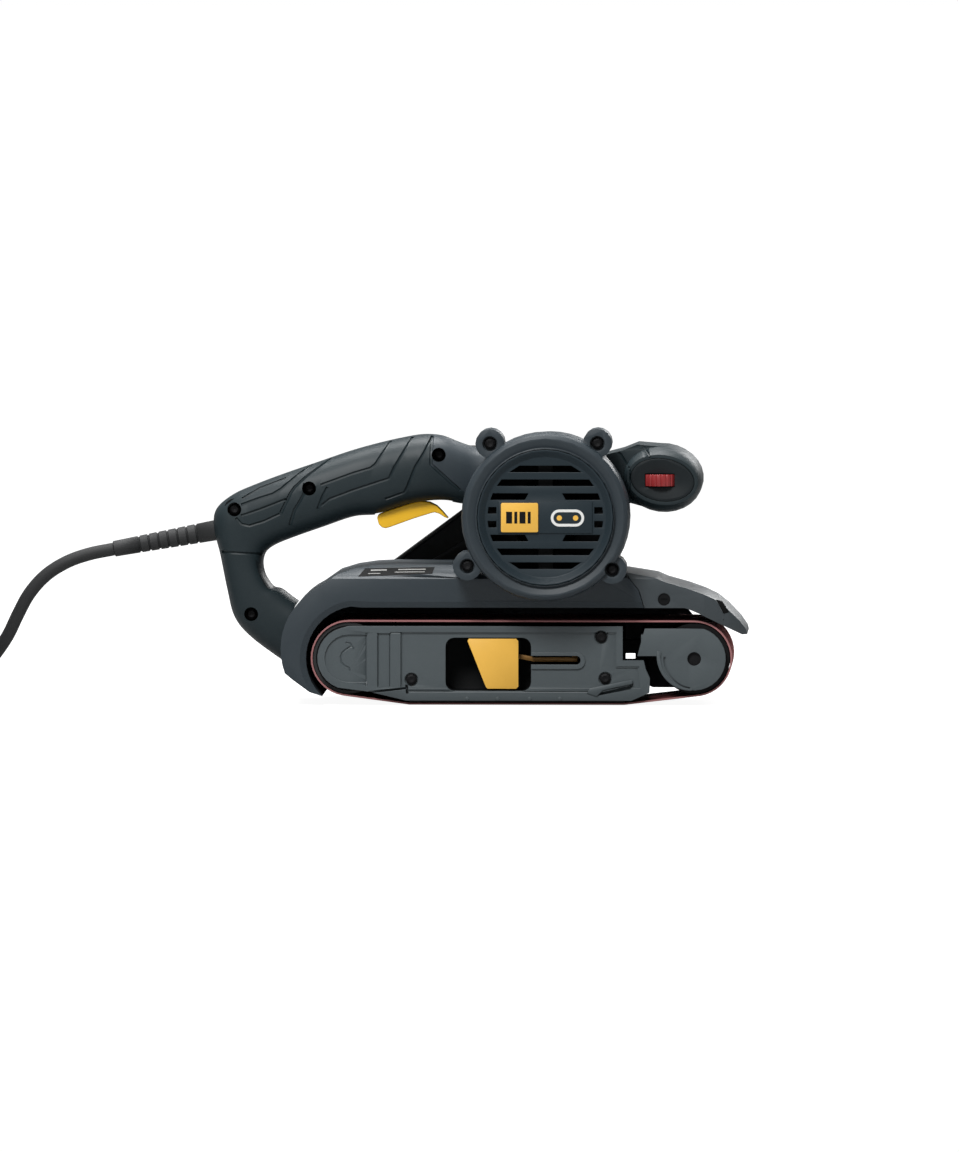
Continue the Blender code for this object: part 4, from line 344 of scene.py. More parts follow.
def lofted_piece(name, rings, *stocks, closed=True):
    """A skin over rings of points that have one count, with its two ends filled where it is closed."""
    bm = bmesh.new()
    rows = [[bm.verts.new(p) for p in ring] for ring in rings]
    count = len(rings[0])
    for a, b in zip(rows, rows[1:]):
        for i in range(count):
            bm.faces.new((a[i], a[(i + 1) % count], b[(i + 1) % count], b[i]))
    if closed:
        bm.faces.new(rows[0][::-1])
        bm.faces.new(rows[-1])
    bmesh.ops.recalc_face_normals(bm, faces=bm.faces)
    return mesh_piece(name, bm, *stocks)


def arc_line(x, z, radius, start, end, steps):
    """Points (x, z) along an arc about a centre, from a start to an end angle in degrees."""
    turn = [math.radians(start + (end - start) * k / steps) for k in range(steps + 1)]
    return [(x + radius * math.cos(a), z + radius * math.sin(a)) for a in turn]


def fixed(piece):
    """Puts a small printed or pressed-in piece on the casing."""
    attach(piece, "root")


def make_housing():
    piece = softened("main_housing", 0.6, CASING)
    hood_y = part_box("front_hood")[0][1]
    skirt = FRONT.z + 28.8 * MM
    inner_r, lip, slope, overlap = 29.7 * MM, 3.4 * MM, 1.6 * MM, 0.3 * MM
    centre_x, front_x = DRIVE.x + 5.6 * MM, FRONT.x - 24 * MM

    def edge(grow, y):
        """The hood's open edge at one depth, moved outwards by grow."""
        line = arc_line(centre_x, DRIVE.z, inner_r + grow, 232, 98, 20)
        line += [(centre_x + 6 * MM, skirt + grow), (front_x, skirt + grow), (front_x, skirt - 12 * MM),
                 (centre_x, DRIVE.z)]
        return [(x, y, z) for x, z in line]

    rings = [edge(lip * (1 + MM / slope), hood_y - MM), edge(-overlap, hood_y + slope * 1.08)]
    carve(piece, lofted_piece("lip", rings))


def make_label():
    """A printed foil on the sloping shoulder behind the motor, with plain bars for its print."""
    shoulder_y, shoulder_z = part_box("front_hood")[0][1], FRONT.z + 45.2 * MM
    rise, run = 7.6, 12
    out = Vector((0, -rise, run)).normalized()

    def foil(name, corners, sunk, raised, stock):
        """A plate on the shoulder, from corners of offset and height (mm)."""
        flat = [Vector((DRIVE.x + x * MM, shoulder_y + (z / rise) * run * MM, shoulder_z + z * MM))
                for x, z in corners]
        rings = [[p - out * sunk * MM for p in flat], [p + out * raised * MM for p in flat]]
        fixed(lofted_piece(name, rings, stock))

    ground = ((5.6, 1.1), (47.2, 2.6), (48.6, 6.1), (9.2, 5.4))
    foil("rating_label", ground, 0.3, 0.12, BLACK)
    bars = ((12.5, 21.5, 4.0, 4.7), (28, 43.5, 4.5, 5.0), (11, 18, 2.4, 2.75), (26, 43, 3.2, 3.55))
    for k, (x0, x1, low, high) in enumerate(bars):
        corners = ((x0, low), (x1, low + 0.2), (x1, high + 0.2), (x0, high))
        foil(f"label_bar_{k + 1}", corners, 0.2, 0.16, LABEL_INK)


make_housing()
make_label()


# ---- Motor: its round end cover is held on the barrel by four screws in its lugs, with a pressed-in grille.
# The fan, the windings and the bearings behind the slots are painted dark as painted shade, and the brushes
# are graphite.

GRILLE = finish("grille_plastic", (0.011, 0.021, 0.028), (0.02, 0.031, 0.038), 0.5, 0.48,
                bump=0.3, specular=0.3)
# Steel darkened as painted shade: for the motor's bearings, the screws in their lugs and wells, and the
# rollers and shafts in the gap between the belt and the side plate.
STEEL_PAINTED_SHADE = finish("steel_painted_shade", (0.008, 0.008, 0.009), (0.018, 0.018, 0.018), 0.5, 0.55,
                    bump=0.15, metallic=0.4, specular=0.2)
STEEL = finish("bright_steel", (0.52, 0.52, 0.53), (0.4, 0.4, 0.4), 0.5, 0.32,
               grain=1500, bump=0.1, metallic=1.0)
GRAPHITE = finish("graphite_cloth", (0.03, 0.03, 0.031), (0.05, 0.05, 0.05), 0.5, 0.7, bump=0.5)


def paint(stock, *node_names):
    """Gives nodes that are shown as they are their finish."""
    for node_name in node_names:
        stocks = frame["nodes"][node_name].data.materials
        stocks.clear()
        stocks.append(stock)


def weld(piece):
    """Joins a piece's doubled points and turns its faces outwards."""
    make_active(piece)
    bpy.ops.object.mode_set(mode="EDIT")
    bpy.ops.mesh.select_all(action="SELECT")
    bpy.ops.mesh.remove_doubles(threshold=0.001 * MM)
    bpy.ops.mesh.normals_make_consistent(inside=False)
    bpy.ops.object.mode_set(mode="OBJECT")


def turned_piece(name, x, z, profile, *stocks, count=96):
    """A closed ring: a profile of (radius, y) points turned about a line along Y through (x, z)."""
    rings = []
    for k in range(count):
        a = 2 * PI * k / count
        rings.append([(x + r * math.cos(a), y, z + r * math.sin(a)) for r, y in profile])
    piece = lofted_piece(name, rings + [rings[0]], *stocks, closed=False)
    weld(piece)
    return piece


def make_motor_cover():
    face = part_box("motor_end_cover")[0][1]

    def painted_shade_inside(centre):
        """Painted shade: black on the faces deep inside the cover, where shade falls, and the casing's colour
        outside.
        """
        reach = math.hypot(centre.x - MOTOR.x, centre.z - MOTOR.z)
        return 1 if centre.y > face + 5.5 * MM and reach < 37 * MM else 0

    cover = softened("motor_end_cover", 0.7, CASING, BLACK, pick=painted_shade_inside)
    rim, root, floor, proud, sunk = 44.4 * MM, 39.6 * MM, 38.8 * MM, face - 0.8 * MM, face + 2.6 * MM
    carve(cover, turned_piece("cone", MOTOR.x, MOTOR.z,
                              [(rim, proud), (root, sunk), (floor, sunk), (floor, proud)]))
    settle_new(cover, "root")
    # Painted shade: the grille's deeper faces are black, for the shade inside its slots.
    softened("vent_grille", 0.35, GRILLE, BLACK, pick=lambda c: 1 if c.y > face + 4.2 * MM else 0)


make_motor_cover()
# Painted shade: the motor's insides are painted black, and its bearings and cover screws darkened steel, for
# the shade behind the slots and in the lugs.
paint(BLACK, "armature_core", "stator_core", "motor_shaft", "cooling_fan", "brush_plate")
paint(GRAPHITE, "carbon_brush_rear", "carbon_brush_front")
paint(STEEL_PAINTED_SHADE, "motor_bearing_left", "motor_bearing_right", *(f"cover_screw_{k + 1}" for k in range(4)))


# ---- Badge: a thin printed plate on the grille's middle with plain bars, and a plain mark of a belt round
# two rollers, printed beside it.

YELLOW = finish("yellow_plastic", (0.88, 0.5, 0.08), (0.7, 0.38, 0.05), 0.4, 0.42, bump=0.12, specular=0.35)
WHITE = finish("white_print", (0.8, 0.8, 0.78), (0.6, 0.6, 0.58), 0.4, 0.4, bump=0.05)


def plate_piece(name, outline, low, high, *stocks):
    """A closed plate: an outline of (x, z) points between two places along Y."""
    rings = [[(x, y, z) for x, z in outline] for y in (low, high)]
    return lofted_piece(name, rings, *stocks)


def disc_piece(name, x, z, radius, low, high, *stocks, count=32):
    """A disc or a round pin along Y, with count sides."""
    turn = [2 * PI * k / count for k in range(count)]
    outline = [(x + radius * math.cos(a), z + radius * math.sin(a)) for a in turn]
    return plate_piece(name, outline, low, high, *stocks)


def make_badge():
    low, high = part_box("badge_plate")
    softened("badge_plate", 0.25, YELLOW)
    wide, tall = high[0] - low[0], high[2] - low[2]
    bars = ((0.14, 0.30), (0.36, 0.44), (0.50, 0.66), (0.72, 0.80))  # shares of the plate's length
    for k, (start, end) in enumerate(bars):
        x0, x1 = low[0] + start * wide, low[0] + end * wide
        z0, z1 = low[2] + 0.3 * tall, low[2] + 0.7 * tall
        bar = plate_piece(f"badge_bar_{k + 1}", [(x0, z0), (x1, z0), (x1, z1), (x0, z1)],
                          low[1] - 0.06 * MM, low[1] + 0.1 * MM, BLACK)
        fixed(bar)


def make_mark():
    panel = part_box("badge_plate")[1][1] + 0.3 * MM
    x, z, half, radius, line = MOTOR.x + 12.5 * MM, MOTOR.z - 0.3 * MM, 4.6 * MM, 4.8 * MM, 1.5 * MM
    sunk, proud = panel - 0.25 * MM, panel + 0.1 * MM
    turn = [math.radians(a) for a in range(-90, 91, 10)]

    def loop(y, r):
        """The belt's outline at one depth: two half turns."""
        return ([(x + half + r * math.cos(a), y, z + r * math.sin(a)) for a in turn]
                + [(x - half - r * math.cos(a), y, z - r * math.sin(a)) for a in turn])

    rings = [loop(sunk, radius), loop(proud, radius), loop(proud, radius - line), loop(sunk, radius - line)]
    mark = lofted_piece("belt_mark", rings + [rings[0]], WHITE, closed=False)
    weld(mark)
    fixed(mark)
    for k, side in enumerate((-1, 1)):
        fixed(disc_piece(f"roller_mark_{k}", x + side * half, z, 1.5 * MM, sunk, proud, YELLOW, count=20))


make_badge()
make_mark()


# ---- Nose: a lighter moulding over the front roller, screwed to the hood, with a slot for a fingernail near
# its lip.

NOSE = finish("nose_plastic", (0.042, 0.052, 0.058), (0.06, 0.07, 0.077), 0.5, 0.42, bump=0.25, specular=0.4)


def make_nose():
    piece = softened("front_hood", 1.4, NOSE, segments=3)
    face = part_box("front_hood")[0][1]
    corners = ((12.4, 33.2), (15.8, 32.4), (19.8, 26.2), (16.6, 25.2))
    slot = [(FRONT.x + x * MM, FRONT.z + z * MM) for x, z in corners]
    carve(piece, plate_piece("slot", slot, face - 2 * MM, face + 14 * MM))
    x, z, half_long, half_wide = FRONT.x - 17 * MM, FRONT.z + 33.7 * MM, 2 * MM, 0.4 * MM
    screw = disc_piece("nose_screw", x, z, 3.4 * MM, face + 0.7 * MM, face + 1.9 * MM, BLACK, count=24)
    notch = [(x + i * half_long, z + j * half_wide) for i, j in ((-1, -1), (1, -1), (1, 1), (-1, 1))]
    carve(screw, plate_piece("notch", notch, face, face + 1.3 * MM))
    fixed(screw)
    # Painted shade: a black sheet in the slot stands for the shade inside it.
    fixed(plate_piece("nose_slot_painted_shade", slot, face + 8 * MM, face + 9 * MM, BLACK))


make_nose()


# ---- Rear handle: two glass-filled shells screwed together, with moulded grooves along the palm's side. A
# stiff web joins it to the barrel, and four screws stand in wells.

HANDLE_PLASTIC = finish("handle_plastic", (0.009, 0.018, 0.022), (0.018, 0.028, 0.032), 0.5, 0.5,
                        bump=0.35, specular=0.35)
# Dark cap plastic, also used as painted shade on the handle's faces that turn towards the hand's gap.
CAP_AND_SHADE = finish("cap_plastic_and_painted_shade", (0.005, 0.009, 0.011), (0.012, 0.017, 0.02), 0.5, 0.45, bump=0.3, specular=0.3)
HANDLE = Vector((MOTOR.x - 2.2 * MM, 0, MOTOR.z - 1.5 * MM))
HEEL = Vector((DRIVE.x - 2.2 * MM, 0, DRIVE.z - 1.5 * MM))
SPLIT = 0.15 * MM
CORD_TILT = math.radians(10.5)  # how far the guard points down
CORD_WAY = Vector((-math.cos(CORD_TILT), 0, -math.sin(CORD_TILT)))
STATIONS = (  # round to the hood: an origin, the outer and inner edge (x, z) from it, and the half width, mm
    (HANDLE, (-22.0, 37.0), (-30.0, 9.0), 14.5), (HANDLE, (-38.0, 38.5), (-38.0, 6.0), 15.5),
    (HANDLE, (-48.0, 41.5), (-46.5, 6.5), 17.5), (HANDLE, (-58.0, 45.3), (-56.5, 8.0), 19.0),
    (HANDLE, (-68.5, 46.0), (-68.0, 7.5), 20.0), (HANDLE, (-79.5, 44.3), (-79.5, 5.2), 19.5),
    (HANDLE, (-94.0, 41.0), (-93.5, 0.5), 18.7), (HANDLE, (-110.0, 36.5), (-108.0, -0.8), 18.2),
    (HANDLE, (-129.0, 30.0), (-125.0, -6.5), 18.0), (HANDLE, (-147.0, 23.8), (-142.0, -12.5), 18.0),
    (HANDLE, (-163.0, 17.8), (-152.5, -16.8), 18.0), (HANDLE, (-177.0, 11.5), (-157.5, -20.5), 17.6),
    (HANDLE, (-186.5, 3.0), (-159.3, -25.0), 16.8), (HANDLE, (-187.6, -8.0), (-159.2, -30.0), 16.3),
    (HANDLE, (-184.2, -22.0), (-157.6, -35.0), 16.0), (HANDLE, (-180.2, -42.0), (-153.5, -40.5), 16.0),
    (HEEL, (-64.0, 23.0), (-36.5, 39.0), 16.0), (HEEL, (-54.5, 11.5), (-29.5, 33.8), 16.0),
    (HEEL, (-37.0, -1.5), (-14.0, 23.0), 16.0),
)
GROOVES = (  # offsets from the motor's axis, x and z, in mm
    ((-173.3, 8.2), (-163.1, 14.4), (-148.4, 20.0)),
    ((-173.8, 4.8), (-163.1, 8.7), (-155.8, 11.0), (-151.2, 13.8), (-140.5, 22.9), (-133.7, 27.4)),
    ((-123.5, 30.8), (-136.5, 21.2), (-143.3, 15.0), (-145.6, 11.6), (-151.2, 0.3)),
    ((-173.8, -1.4), (-163.1, 2.2), (-147.8, 8.2)),
    ((-176.7, -2.6), (-173.8, -6.0), (-169.3, -7.1), (-160.8, -4.5), (-151.8, -0.3)),
    ((-137.7, 17.2), (-138.2, 15.0), (-137.7, 12.1), (-139.9, 7.6), (-143.3, 2.2), (-146.1, -6.8)),
    ((-128.6, 16.1), (-110.0, 22.9), (-100.4, 25.7), (-97.6, 27.9), (-89.1, 40.9)),
    ((-128.6, 4.2), (-123.5, 8.2), (-110.0, 13.3), (-89.7, 20.0), (-86.8, 26.3), (-76.7, 43.2)),
    ((-124.7, 15.0), (-127.5, 9.9), (-130.3, 2.5)),
    ((-187.0, -22.0), (-158.0, -23.5)),
    ((-65.5, 47.0), (-66.0, 28.0), (-49.5, 13.0)),
    ((-65.4, 43.8), (-69.9, 34.7), (-75.0, 26.3), (-79.5, 15.0), (-81.2, 12.1), (-91.9, 8.2)),
)


def between(a, b, c, d, t):
    """A smooth curve's value between b and c, of four in a row."""
    return 0.5 * (2 * b + (c - a) * t + (2 * a - 5 * b + 4 * c - d) * t * t + (3 * b - a - 3 * c + d) * t**3)


def handle_stations(steps=6):
    """The stations in metres, with steps smooth ones from each to the next."""
    rows = [(*(Vector((origin.x + x * MM, 0, origin.z + z * MM)) for x, z in edges), half * MM)
            for origin, *edges, half in STATIONS]
    ends = [rows[0], *rows, rows[-1]]
    fine = []
    for a, b, c, d in zip(ends, ends[1:], ends[2:], ends[3:]):
        fine += [tuple(between(a[k], b[k], c[k], d[k], i / steps) for k in range(3)) for i in range(steps)]
    return fine + [rows[-1]]


def handle_shell(name, side, wall=2.8 * MM, count=14, flat=0.74):
    """Half of the handle: a wall lofted along the stations. A low flat squares the section's corners."""
    rings = []
    for outer, inner, half in handle_stations():
        centre, up = (outer + inner) / 2, (outer - inner) / 2
        points = []
        for grow, order in ((0.0, range(count + 1)), (wall, range(count, -1, -1))):
            tall, wide = up.normalized() * (up.length - grow), half - grow
            for i in order:
                t = PI * i / count
                across = math.sin(t) ** flat * wide if 0 < i < count else 0
                along = math.copysign(abs(math.cos(t)) ** flat, math.cos(t))
                points.append(centre + tall * along + Vector((0, side * (across + SPLIT), 0)))
        rings.append(points)
    return lofted_piece(name, rings, HANDLE_PLASTIC, CASING, CAP_AND_SHADE)


def round_line(name, points, radius, resolution, ring=False):
    """A round bar along points, as a curve object. As a ring, it runs on from the last point to the first."""
    curve = bpy.data.curves.new(name, "CURVE")
    curve.dimensions = "3D"
    curve.bevel_depth = radius
    curve.bevel_resolution = resolution
    curve.use_fill_caps = True
    spline = curve.splines.new("POLY")
    spline.points.add(len(points) - 1)
    spline.use_cyclic_u = ring
    for point, place in zip(spline.points, points):
        point.co = (*place, 1)
    line = bpy.data.objects.new(name, curve)
    bpy.context.scene.collection.objects.link(line)
    return line


def line_tool(points, radius, ring=False):
    """A round bar along points, to carve a groove with."""
    line = round_line("groove", points, radius, 1, ring)
    mesh = bpy.data.meshes.new_from_object(line)
    bpy.data.objects.remove(line)
    tool = bpy.data.objects.new("groove", mesh)
    bpy.context.scene.collection.objects.link(tool)
    return tool


def on_skin(piece, side, line, step=2.0 * MM, start=MOTOR):
    """Points every step along a line of offsets (mm) from start, dropped sideways on to a piece's face."""
    far = 60 * MM
    ends = [Vector((start.x + x * MM, 0, start.z + z * MM)) for x, z in line]
    placed = []
    for a, b in zip(ends, ends[1:]):
        count = max(1, round((b - a).length / step))
        for i in range(count + (b is ends[-1])):
            p = a + (b - a) * (i / count)
            hit, place, *_ = piece.ray_cast(Vector((p.x, side * far, p.z)), Vector((0, -side, 0)))
            if hit:
                placed.append(place)
    return placed


def engrave(piece, side, lines, radius, **way):
    """Carves round-bottomed lines into a piece's face. way holds on_skin's step and start."""
    for line in lines:
        points = on_skin(piece, side, line, **way)
        if len(points) > 1:
            carve(piece, line_tool(points, radius))


def middle(node_name):
    """The centre of a node's box, as (x, z)."""
    low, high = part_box(node_name)
    return (low[0] + high[0]) / 2, (low[2] + high[2]) / 2


def open_for_trigger(shell):
    """Clears the shell from the barrel and the hood, and opens it for the trigger."""
    through = 100 * MM
    corners = ((-96.2, -9), (-52, -9), (-52, 12.5), (-66, 15.5), (-96.2, 6.5))
    slot = [(HANDLE.x + x * MM, HANDLE.z + z * MM) for x, z in corners]
    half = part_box("trigger")[1][1] + 0.8 * MM
    carve(shell, disc_piece("barrel", MOTOR.x, MOTOR.z, 44.8 * MM, -through, through, count=64),
          disc_piece("hood", DRIVE.x + 1.1 * MM, DRIVE.z + 5.1 * MM, 39.9 * MM, -through, through, count=96),
          plate_piece("slot", slot, -half, half))


def make_wells(shell):
    """The screws' wells in the near shell, each with a dark tube that its screw stands in; the black tube is
    painted shade inside the well.
    """
    well_r, tube_r, outside, floor = 4.0 * MM, 6.0 * MM, -30 * MM, -8 * MM
    for k in range(4):
        x, z = middle(f"handle_screw_{k + 1}")
        tube = disc_piece("tube", x, z, tube_r, -11.2 * MM, -0.3 * MM, BLACK)
        carve(tube, disc_piece("bore", x, z, well_r, outside, floor))
        tube.name = f"screw_well_shade_{k + 1}"
        carve(shell, disc_piece("well", x, z, well_r, outside, floor - MM, count=40))
        settle_new(tube, "root")


def open_for_guard(shell):
    """A stepped hole at the handle's rear for the cord guard."""
    low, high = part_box("cord_guard")
    reach = Vector((high[0], 0, (low[2] + high[2]) / 2 + 5.2 * MM))
    carve(shell, line_tool([reach - CORD_WAY * 4 * MM, reach + CORD_WAY * 6 * MM], 7.6 * MM),
          line_tool([reach, reach + CORD_WAY * 40 * MM], 6.2 * MM))


def colour_web_and_paint_shade(shell):
    """Gives the web at the barrel the casing's colour, and paints shade as the dark cap colour on the faces
    towards the hand's gap.
    """
    gap = Vector((HANDLE.x - 100 * MM, 0, HANDLE.z - 18 * MM))
    for face in shell.data.polygons:
        x, z = face.center.x - MOTOR.x, face.center.z - MOTOR.z
        if x > -65.7 * MM and z - 28 * MM > -0.9 * (x + 66 * MM):
            face.material_index = 1
        # Painted shade: faces turned towards the hand's gap get the dark cap material.
        elif z > -44 * MM and face.normal.dot((gap - face.center).normalized()) > 0.62:
            face.material_index = 2


def make_handle():
    for side, end in ((-1, "right"), (1, "left")):
        node_name = f"handle_shell_{end}"
        shell = handle_shell(node_name + "_skin", side)
        engrave(shell, side, GROOVES, 1.05 * MM)
        open_for_trigger(shell)
        if side < 0:
            make_wells(shell)
        else:
            x, z = middle("lock_button")
            carve(shell, disc_piece("button_hole", x, z, 5.3 * MM, 5 * MM, 40 * MM, count=40))
        open_for_guard(shell)
        colour_web_and_paint_shade(shell)
        settle(shell, node_name)


make_handle()
# Painted shade: the handle's screws are darkened steel, for the shade in their wells.
paint(STEEL_PAINTED_SHADE, *(f"handle_screw_{k + 1}" for k in range(4)))
paint(BLACK, "switch_body")


# ---- Trigger and lock button: smooth yellow mouldings that slide in the handle.

TRIGGER = finish("trigger_plastic", (0.95, 0.54, 0.014), (0.8, 0.43, 0.012), 0.4, 0.35, bump=0.12)


def round_piece(piece, width, segments=2):
    """Rounds a new piece's edges by width (mm)."""
    bevel = piece.modifiers.new("round", "BEVEL")
    bevel.width = width * MM
    bevel.segments = segments
    bevel.limit_method = "ANGLE"
    bpy.context.view_layer.objects.active = piece
    bpy.ops.object.modifier_apply(modifier=bevel.name)


def make_lock_button():
    low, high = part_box("lock_button")
    x, z = middle("lock_button")
    button = disc_piece("lock_button_skin", x, z, 4.9 * MM, low[1], high[1], TRIGGER, count=48)
    round_piece(button, 1.4, segments=4)
    settle(button, "lock_button")


softened("trigger", 1.4, TRIGGER, segments=4)
make_lock_button()


# ---- Front handle: a rubber-skinned oval grip on a faceted neck. Its right end is dished round the red speed
# dial.

RED = finish("red_plastic", (0.28, 0.022, 0.024), (0.4, 0.05, 0.05), 0.4, 0.36, bump=0.05)
SEAMS = (  # offsets from the motor's axis, x and z, in mm
    ((45.3, 40.5), (54.5, 38.5), (58.2, 33.2), (58.4, 27.0)),
    ((35.5, 37.5), (41.8, 34.2), (47.4, 25.0), (46.5, 8.0)),
)


def make_grip():
    piece = softened("front_grip", 1.5, HANDLE_PLASTIC, segments=3)
    engrave(piece, -1, SEAMS, 0.7 * MM)
    settle_new(piece, BODY_OF["front_grip"])


make_grip()
softened("grip_cap", 0.9, CAP_AND_SHADE, segments=3)
softened("speed_dial", 0.2, RED)


# ---- Side plate: a pressed and painted steel cover over the belt's open side, with folds, an arrow for the
# belt's direction and a window for the tension lever. Three screws hold it on the belt's cast frame.

PAINTED = finish("painted_casting", (0.068, 0.084, 0.091), (0.09, 0.104, 0.11), 0.5, 0.45,
                 grain=600, bump=0.3, specular=0.4)
PLATE_LINES = (  # a groove's radius, then its lines (x, z), in mm
    (0.6, ((-50.2, 40.8), (77.4, 40.8), (77.1, 21.5), (90.5, 21.5)), ((-41.5, 7.6), (62, 7.6)),
     *(((x, 10.6), (x, 40.8)) for x in (-63.7, -57.4, -50.4, -44.2))),
    (0.75, ((-72.4, 33.0), (-74.9, 31.6), (-77.5, 29.5), (-78.4, 27.1), (-78.0, 24.0), (-76.1, 21.9),
            (-73.7, 20.9), (-73.1, 19.4)), ((-75.6, 35.2), (-73.0, 34.6), (-71.0, 31.7))),
    (0.9, ((-58.7, 7.0), (-41.4, 9.2)), ((-41.2, 11.5), (-40.6, 6.5)),
     ((67.6, 6.2), (85.8, 10.6), (86.2, 13.6))),
)


def make_side_plate():
    piece = softened("side_plate", 0.4, PAINTED)
    for radius, *lines in PLATE_LINES:
        engrave(piece, -1, lines, radius * MM, step=0.8 * MM, start=Vector((0, 0, 0)))
    settle_new(piece, BODY_OF["side_plate"], angle=20)
    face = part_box("side_plate")[0][1]
    ridge = ((60.8, 7.0), (62.5, 9.6), (86.6, 14.6), (86.8, 12.2), (70.0, 8.6), (66.5, 5.0))
    fold = plate_piece("plate_fold", [(x * MM, z * MM) for x, z in ridge], face - 0.9 * MM, face + 0.3 * MM,
                       PAINTED)
    round_piece(fold, 0.35)
    settle_new(fold, "root")
    for k, x in enumerate((-6.8, 10.4, 28.5, 45.6)):
        nub = disc_piece(f"plate_nub_{k + 1}", x * MM, 3.6 * MM, 1.1 * MM, face - 0.5 * MM, face + 0.3 * MM,
                         PAINTED, count=20)
        round_piece(nub, 0.3)
        settle_new(nub, "root")


make_side_plate()
# Painted shade: the cast frame is black so that it reads as shade through the lever's window, and the plate's
# screws are darkened steel for the shade in their holes.
softened("belt_frame", 0.4, BLACK)
paint(STEEL_PAINTED_SHADE, "plate_screw_1", "plate_screw_2", "plate_screw_3")
paint(STEEL, "platen")
paint(GRAPHITE, "sole_pad")


# ---- Belt tension: a bent steel lever, painted yellow, draws the front roller back by its rod against a wire
# spring, which shortens as the slider is drawn back.

ROD = finish("zinc_yellow_steel", (0.24, 0.12, 0.025), (0.14, 0.07, 0.02), 0.6, 0.4, bump=0.1, metallic=0.4)


def make_spring():
    piece = mesh_piece("tension_spring_skin", whole_copy("tension_spring"), STEEL)
    settle(piece, "tension_spring", angle=60)
    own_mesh(piece)


softened("tension_lever", 0.5, YELLOW, BLACK, pick=lambda c: 1 if c.x > 20.5 * MM else 0)
softened("tension_rod", 0.3, ROD)
make_spring()
paint(BLACK, "yoke_slider")


# ---- Front yoke and rollers: a cast fork carries the crowned front roller. Its cheek has a raised rib round
# the axle's lower side. The drive roller is rubber-sleeved.

RUBBER = finish("black_rubber", (0.012, 0.013, 0.014), (0.03, 0.03, 0.03), 0.4, 0.68, bump=0.35)


def spiral(start, turn, radius, change, steps=20):
    """Points (x, z) round the front axle, whose radius (mm) changes evenly over a turn in degrees."""
    placed = []
    for k in range(steps + 1):
        a, r = math.radians(start + turn * k / steps), (radius + change * k / steps) * MM
        placed.append((FRONT.x + r * math.cos(a), FRONT.z + r * math.sin(a)))
    return placed


def make_yoke():
    softened("front_yoke", 0.6, PAINTED, segments=3)
    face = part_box("front_yoke")[0][1]
    outline = spiral(168, 98, 21.6, -3.6) + spiral(266, -98, 16.9, 2.2)
    rib = plate_piece("yoke_rib", outline, face - 0.9 * MM, face + 0.5 * MM, PAINTED)
    round_piece(rib, 0.35)
    settle_new(rib, BODY_OF["front_yoke"])


make_yoke()
# Painted shade: the rollers, the axle and the shaft are darkened, for the shade in the gap between the belt
# and the side plate.
paint(STEEL_PAINTED_SHADE, "drive_roller", "front_roller", "front_axle", "drive_shaft")
paint(RUBBER, "roller_sleeve")
paint(STEEL, "drive_bearing")


# ---- Sanding belt: resin-bonded grit on a red cloth, 76 x 533 mm. It is painted paler towards its edges, as painted light
# for the light that reaches in under the hood, and its cut edge and its back show the cloth.

ABRASIVE = finish("abrasive_cloth", (0.2, 0.014, 0.014), (0.3, 0.07, 0.06), 1.0, 0.92,
                  grain=2600, bump=1.0, depth=0.4)
BACKING = finish("belt_backing", (0.1, 0.016, 0.016), (0.16, 0.03, 0.03), 0.8, 0.8, grain=1800, bump=0.5)
BELT_EDGE = finish("belt_edge", (0.34, 0.14, 0.14), (0.42, 0.2, 0.2), 0.8, 0.8, grain=1800, bump=0.4)


def paint_edge_light(material, colour, start, end):
    """Painted light: turns a material's colour paler towards a belt's two edges, from start to end (mm from
    its middle), for the light that reaches in under the hood.
    """
    nodes, link = material.node_tree.nodes, material.node_tree.links.new
    shader = nodes["Principled BSDF"]
    old = shader.inputs["Base Color"].links[0].from_socket
    place = nodes.new("ShaderNodeTexCoord")
    split = nodes.new("ShaderNodeSeparateXYZ")
    side = nodes.new("ShaderNodeMath")
    side.operation = "ABSOLUTE"
    near = nodes.new("ShaderNodeMapRange")
    near.inputs["From Min"].default_value = start * MM
    near.inputs["From Max"].default_value = end * MM
    mix = nodes.new("ShaderNodeMix")
    mix.data_type = "RGBA"
    mix.inputs["B"].default_value = (*colour, 1)
    link(place.outputs["Object"], split.inputs[0])
    link(split.outputs["Y"], side.inputs[0])
    link(side.outputs[0], near.inputs["Value"])
    link(near.outputs[0], mix.inputs["Factor"])
    link(old, mix.inputs["A"])
    link(mix.outputs["Result"], shader.inputs["Base Color"])


def make_belt():
    # Painted light: the abrasive turns paler towards the belt's two edges.
    paint_edge_light(ABRASIVE, (0.36, 0.13, 0.13), 12, 38)
    piece = softened("sanding_belt", 0.12, ABRASIVE, BACKING, BELT_EDGE, segments=1)
    centre = Vector(((DRIVE.x + FRONT.x) / 2, 0, DRIVE.z))
    end_share = 0.05  # the loop is far longer than high, so its length counts less
    for face in piece.data.polygons:
        away = face.center - centre
        if abs(face.normal.y) > 0.5:
            face.material_index = 2
        elif face.normal.x * away.x * end_share + face.normal.z * away.z < 0:
            face.material_index = 1


make_belt()


# ---- Drive side: a moulded cover over the toothed belt and its pulleys, with a groove inside its edge and
# three screws, the dust outlet and the tracking knob.

BLACK_CASE = finish("black_casing", (0.009, 0.01, 0.011), (0.018, 0.019, 0.02), 0.5, 0.45,
                    bump=0.35, specular=0.4)


